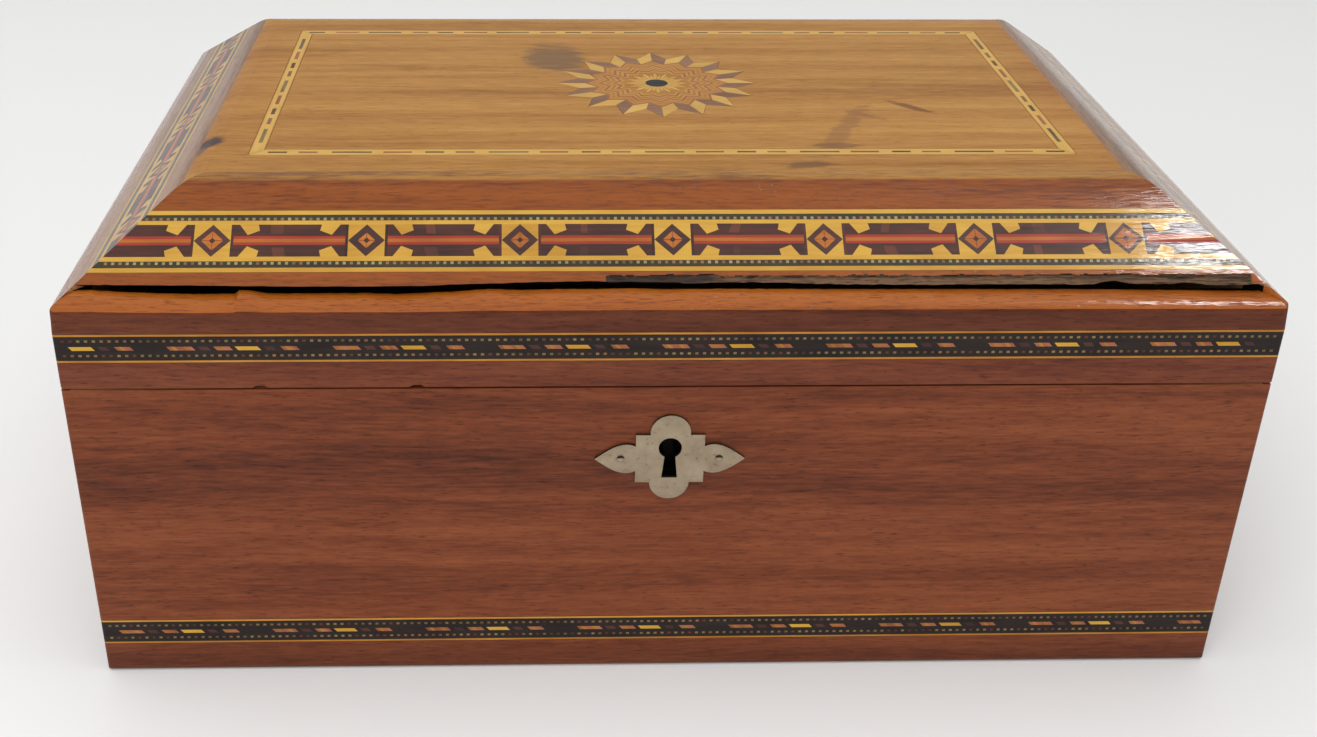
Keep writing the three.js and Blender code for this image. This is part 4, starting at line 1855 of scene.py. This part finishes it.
    def torn_toe(self, point: Vector) -> Vector:
        """Gives the front moulding's lower edge its own line, and sinks the strip that has torn off above it.

        Args:
            point: A point of the moulding.

        Returns:
            Where the point goes.
        """
        sizes = self.sizes
        inset = point.y + sizes.half_depth
        depth = (sizes.surface(inset) - point.z) * math.cos(sizes.tilt)
        if abs(point.z - sizes.joint - self.crack) < 0.05 and depth > 0.05:
            return point - Vector((0, 0, self.toe_thickness))
        if inset > self.torn_insets[-1] - 0.05 or depth > 0.05:
            return point
        slow, quick = Vector((point.x * 0.35, 5.5, 0)), Vector((point.x * 1.3, 2.5, 0))
        wave = noise.noise(slow) + 0.5 * noise.noise(quick)
        if inset < self.torn_insets[0] - self.toe_overlap:
            at_mitre = sizes.half_width - inset - abs(point.x) < 2 * sizes.mitre_gap
            inset = along_table(self.toe_insets, point.x) + self.toe_waver * wave
            x = math.copysign(sizes.half_width - inset - sizes.hair_gap, point.x) if at_mitre else point.x
            point = Vector((x, inset - sizes.half_depth, sizes.surface(inset)))
        start, end = self.torn_reach
        in_wide_part = start < point.x < self.torn_wide_end
        upper = self.torn_upper[0 if in_wide_part else 1] + self.torn_upper_waver * wave
        lower = self.torn_island_inset if self.torn_island[0] < point.x < self.torn_island[1] else 0.0
        if not (start < point.x < end and lower < inset < upper):
            return point
        usual, change, least = self.torn_depth
        sunk = usual + change * noise.noise(Vector((point.x * 0.5, inset * 3, 1.0)))
        return point - Vector((0, -math.sin(sizes.tilt), math.cos(sizes.tilt))) * max(sunk, least)

    def panel(self) -> None:
        """Builds the flat top panel, polished above and plain within."""
        panel = Workpiece("lid_top_panel")
        top, plain = (wood.material(Grain.ALONG_WIDTH) for wood in (TOP_WOOD, PLAIN_WOOD))
        height = self.sizes.lid_top - 0.1
        panel.dress(lambda middle, facing: top if middle.z > height else plain)
        panel.finish("lid", "top_wood")


@dataclass(frozen=True)
class Screw:
    """A slotted countersunk screw, in millimetres."""

    head_radius: float = 1.7
    head_height: float = 0.9
    shank_radius: float = 0.8
    length: float = 7.0
    slot_width: float = 0.45
    slot_depth: float = 0.4

    def inputs(self) -> dict[str, float]:
        """The sizes as the nodes name them.

        Returns:
            Names of the nodes' inputs with their values in metres.
        """
        return {name.replace("_", " ").capitalize(): value * MM for name, value in vars(self).items()}


class ScrewTree(Nodes):
    """Geometry Nodes that set a slotted screw on every point they are given."""

    def __init__(self) -> None:
        """Lays the nodes out, with a named input for each size."""
        super().__init__(bpy.data.node_groups.new("screws_on_points", "GeometryNodeTree"))
        sockets = {"Points": "Geometry", **dict.fromkeys(Screw().inputs(), "Float")}
        sockets |= {"Turn": "Float", "Seed": "Int", "Finish": "Material"}
        for name, kind in sockets.items():
            self.tree.interface.new_socket(name, in_out="INPUT", socket_type=f"NodeSocket{kind}")
        self.tree.interface.new_socket("Screws", in_out="OUTPUT", socket_type="NodeSocketGeometry")
        self.given = self.tree.nodes.new("NodeGroupInput").outputs
        body = self.node("GeometryNodeMeshBoolean", operation="UNION")
        for part in (self.head(), self.shank()):
            self.feed(body.inputs["Mesh 2"], part)
        parts = {"Mesh 1": body.outputs["Mesh"], "Mesh 2": self.slot()}
        slotted = self.node("GeometryNodeMeshBoolean", parts, operation="DIFFERENCE")
        self.set_on_points(slotted.outputs["Mesh"])

    def moved(self, geometry: Socket, height: Socket) -> Socket:
        """Moves a mesh up by a height.

        Args:
            geometry: The mesh.
            height: The height.

        Returns:
            The moved mesh.
        """
        place = self.node("ShaderNodeCombineXYZ", {"Z": height}).outputs["Vector"]
        inputs = {"Geometry": geometry, "Translation": place}
        return self.node("GeometryNodeTransform", inputs).outputs["Geometry"]

    def head(self) -> Socket:
        """The cone of the head, with its flat face at height zero.

        Returns:
            The mesh.
        """
        height = self.given["Head height"]
        sizes = {
            "Vertices": 24,
            "Radius Top": self.given["Head radius"],
            "Radius Bottom": self.given["Shank radius"],
            "Depth": height,
        }
        cone = self.node("GeometryNodeMeshCone", sizes)
        return self.moved(cone.outputs["Mesh"], self.math("MULTIPLY", height, -1.0))

    def shank(self) -> Socket:
        """The shank, from within the head down to the screw's end.

        Returns:
            The mesh.
        """
        within = self.math("MULTIPLY", self.given["Head height"], 0.5)
        length = self.math("SUBTRACT", self.given["Length"], within)
        radius = self.math("MULTIPLY", self.given["Shank radius"], 0.98)
        rod = self.node("GeometryNodeMeshCylinder", {"Vertices": 16, "Radius": radius, "Depth": length})
        middle = self.math("SUBTRACT", self.math("MULTIPLY", length, 0.5), self.given["Length"])
        return self.moved(rod.outputs["Mesh"], middle)

    def slot(self) -> Socket:
        """The bar that cuts the slot.

        Returns:
            The mesh.
        """
        length = self.math("MULTIPLY", self.given["Head radius"], 2.5)
        depth = self.math("MULTIPLY", self.given["Slot depth"], 2.0)
        sizes = self.node("ShaderNodeCombineXYZ", {"X": length, "Y": self.given["Slot width"], "Z": depth})
        return self.node("GeometryNodeMeshCube", {"Size": sizes.outputs["Vector"]}).outputs["Mesh"]

    def set_on_points(self, screw: Socket) -> None:
        """Sets the screw on every point, each slot turned its own way.

        Args:
            screw: The screw's mesh.
        """
        turn = self.node("FunctionNodeRandomValue", {"Seed": self.given["Seed"], 2: 0.0, 3: math.pi})
        facing = self.node("ShaderNodeCombineXYZ", {"X": self.given["Turn"], "Z": turn.outputs[1]})
        row = self.node(
            "GeometryNodeInstanceOnPoints",
            {"Points": self.given["Points"], "Instance": screw, "Rotation": facing.outputs["Vector"]},
        )
        real = self.node("GeometryNodeRealizeInstances", {"Geometry": row.outputs["Instances"]})
        finished = {"Geometry": real.outputs["Geometry"], "Material": self.given["Finish"]}
        dressed = self.node("GeometryNodeSetMaterial", finished)
        self.node("NodeGroupOutput", {"Screws": dressed.outputs["Geometry"]})

    def grow(
        self, places: Sequence[Vector], screw: Screw, turn: float, finish: bpy.types.Material
    ) -> bmesh.types.BMesh:
        """Runs the nodes on a row of places.

        Args:
            places: Middles of the heads, in millimetres.
            screw: The screw's sizes.
            turn: Half a turn for heads that face down, or none.
            finish: The screws' material.

        Returns:
            The screws' mesh in millimetres.
        """
        row = bpy.data.meshes.new("screw_places")
        row.from_pydata([place * MM for place in places], [], [])
        holder = bpy.data.objects.new("screw_places", row)
        bpy.context.scene.collection.objects.link(holder)
        modifier = holder.modifiers.new("screws", "NODES")
        modifier.node_group = self.tree
        values = {**screw.inputs(), "Turn": turn, "Seed": SEED, "Finish": finish}
        for item in self.tree.interface.items_tree:
            if item.name in values:
                modifier[item.identifier] = values[item.name]
        grown = bpy.data.meshes.new_from_object(holder.evaluated_get(bpy.context.evaluated_depsgraph_get()))
        holder.modifiers.remove(modifier)
        bpy.data.objects.remove(holder)
        mesh = bmesh.new()
        mesh.from_mesh(grown)
        bmesh.ops.scale(mesh, vec=(1 / MM,) * 3, verts=mesh.verts)
        bpy.data.meshes.remove(grown)
        return mesh


@dataclass
class Fittings:
    """The keyhole plate, its pins, the lock and the hinges."""

    ends: tuple[str, str] = ("left", "right")

    def build(self) -> None:
        """Builds the metal pieces."""
        self.metal_piece("keyhole_plate", "base", NICKEL, "nickel", 0.22)
        self.metal_piece("lock_case", "base", STEEL, "lock_steel", 0.15)
        self.metal_piece("strike_plate", "lid", STEEL, "lock_steel", 0.15)
        for pin in self.ends:
            self.metal_piece(f"plate_pin_{pin}", "base", NICKEL, "nickel", 0.0)
        for hinge in self.ends:
            for part in ("base", "lid"):
                self.metal_piece(f"hinge_{hinge}_{part}_leaf", part, BRASS, "brass", 0.12)
            self.metal_piece(f"hinge_{hinge}_pin", "base", BRASS, "brass", 0.1)
        screws = ScrewTree()
        self.hinge_screws(screws, "base", 0.0)
        self.hinge_screws(screws, "lid", math.pi)

    def hinge_screws(self, tree: ScrewTree, body: str, turn: float) -> None:
        """Builds the four screws that hold the hinges' leaves to one body.

        Args:
            tree: The nodes that make a screw.
            body: The body that they ride on.
            turn: Half a turn for heads that face down, or none.
        """
        nodes = [f"hinge_{hinge}_{body}_screw_{end}" for hinge in self.ends for end in self.ends]
        places = []
        for node in nodes:
            low, high = (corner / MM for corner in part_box(node))
            places.append(Vector(((low.x + high.x) / 2, (low.y + high.y) / 2, low.z if turn else high.z)))
        finish = BRASS.material()
        mesh = tree.grow(places, Screw(), turn, finish)
        place_mesh(mesh, f"{body}_hinge_screws", body, nodes, [finish])

    def metal_piece(self, node: str, body: str, metal: Metal, slot: str, width: float) -> None:
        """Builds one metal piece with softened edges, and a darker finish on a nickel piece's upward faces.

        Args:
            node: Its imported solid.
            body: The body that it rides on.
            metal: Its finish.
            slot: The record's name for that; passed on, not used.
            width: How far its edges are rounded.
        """
        piece = Workpiece(node)
        if width:
            piece.ease(width, lambda first, second: True)
        rim = DARK_RIM if metal is NICKEL else metal
        piece.dress(lambda middle, facing: (rim if facing.z > 0.4 else metal).material())
        piece.finish(body, slot)


@dataclass(frozen=True)
class SoftLight:
    """One soft light of the studio, which either lights the box or shows in its polish."""

    name: str
    place: Place
    target: Place
    size: Point
    power: float
    in_polish: bool = False

    def hang(self) -> None:
        """Hangs the light."""
        data = bpy.data.lights.new(self.name, "AREA")
        data.shape = "RECTANGLE"
        data.size, data.size_y = (length * MM for length in self.size)
        data.energy = self.power
        light = bpy.data.objects.new(self.name, data)
        light.location = Vector(self.place) * MM
        way = (Vector(self.target) - Vector(self.place)).normalized()
        light.rotation_mode = "QUATERNION"
        light.rotation_quaternion = way.to_track_quat("-Z", "Y")
        light.visible_glossy = self.in_polish
        light.visible_diffuse = not self.in_polish
        bpy.context.scene.collection.objects.link(light)


@dataclass
class Studio:
    """The camera, the pale floor and the soft lights."""

    camera_place: Place = (-34.40, -445.06, 282.94)
    yaw: float = 0.030419
    pitch: float = 0.501778
    roll: float = 0.009682
    focal_pixels: float = 1573.6
    picture_width: int = 1317
    centre_column: float = 577.5
    sensor: float = 36.0
    nearest: float = 10.0
    floor_reach: float = 6000.0
    floor_colours: tuple[Colour, Colour] = ((250, 250, 250), (245, 246, 247))
    floor_roughness: float = 0.6
    sky_colour: Colour = (248, 247, 244)
    sky_strength: float = 0.44
    lights: tuple[SoftLight, ...] = (
        SoftLight("ceiling_light", (-150, -150, 1900), (0, 0, 0), (2600, 2200), 24),
        SoftLight("front_light", (-700, -1500, 1100), (0, 0, 60), (1300, 1100), 13),
        SoftLight("window_light", (1010, -300, 1500), (120, -80, 120), (190, 640), 11, in_polish=True),
    )

    def build(self) -> None:
        """Builds all of it."""
        bpy.context.scene.view_settings.view_transform = "Standard"
        self.add_camera()
        self.add_floor()
        self.add_sky()
        for light in self.lights:
            light.hang()

    def add_camera(self) -> None:
        """Sets the camera up at the viewing angle."""
        yaw, pitch, roll = self.yaw, self.pitch, self.roll
        forward = Vector((math.sin(yaw) * math.cos(pitch), math.cos(yaw) * math.cos(pitch), -math.sin(pitch)))
        right = Vector((math.cos(yaw), -math.sin(yaw), 0))
        above = right.cross(forward)
        rolled_right = right * math.cos(roll) + above * math.sin(roll)
        rolled_above = above * math.cos(roll) - right * math.sin(roll)
        data = bpy.data.cameras.new("camera")
        data.sensor_width = self.sensor
        data.lens = self.focal_pixels * self.sensor / self.picture_width
        data.shift_x = (self.picture_width / 2 - self.centre_column) / self.picture_width
        data.clip_start = self.nearest * MM
        camera = bpy.data.objects.new("camera", data)
        turn = Matrix((rolled_right, rolled_above, -forward)).transposed().to_4x4()
        camera.matrix_world = Matrix.Translation(Vector(self.camera_place) * MM) @ turn
        bpy.context.scene.collection.objects.link(camera)
        bpy.context.scene.camera = camera

    def add_floor(self) -> None:
        """Lays the pale floor."""
        reach = self.floor_reach * MM
        data = bpy.data.meshes.new("floor")
        corners = [(-reach, -reach, 0), (reach, -reach, 0), (reach, reach, 0), (-reach, reach, 0)]
        data.from_pydata(corners, [], [(0, 1, 2, 3)])
        shade = Shade("floor_finish")
        first, second = (linear(colour) for colour in self.floor_colours)
        shade.paint(shade.mix(shade.noise(3, 3, 2), first, second), self.floor_roughness)
        data.materials.append(shade.material)
        floor = bpy.data.objects.new("floor", data)
        bpy.context.scene.collection.objects.link(floor)

    def add_sky(self) -> None:
        """Fills the room with pale, even light."""
        world = bpy.data.worlds.new("room")
        world.use_nodes = True
        background = world.node_tree.nodes["Background"]
        background.inputs["Color"].default_value = linear(self.sky_colour)
        background.inputs["Strength"].default_value = self.sky_strength
        bpy.context.scene.world = world


def main() -> None:
    """Builds the humidor, the room round it and the camera."""
    logging.basicConfig(level=logging.INFO, format="%(name)s: %(message)s")
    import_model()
    sizes = CaseSizes.read()
    Case(sizes).build()
    Lid(sizes).build()
    Fittings().build()
    Studio().build()
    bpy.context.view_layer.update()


if __name__ == "__main__":
    main()
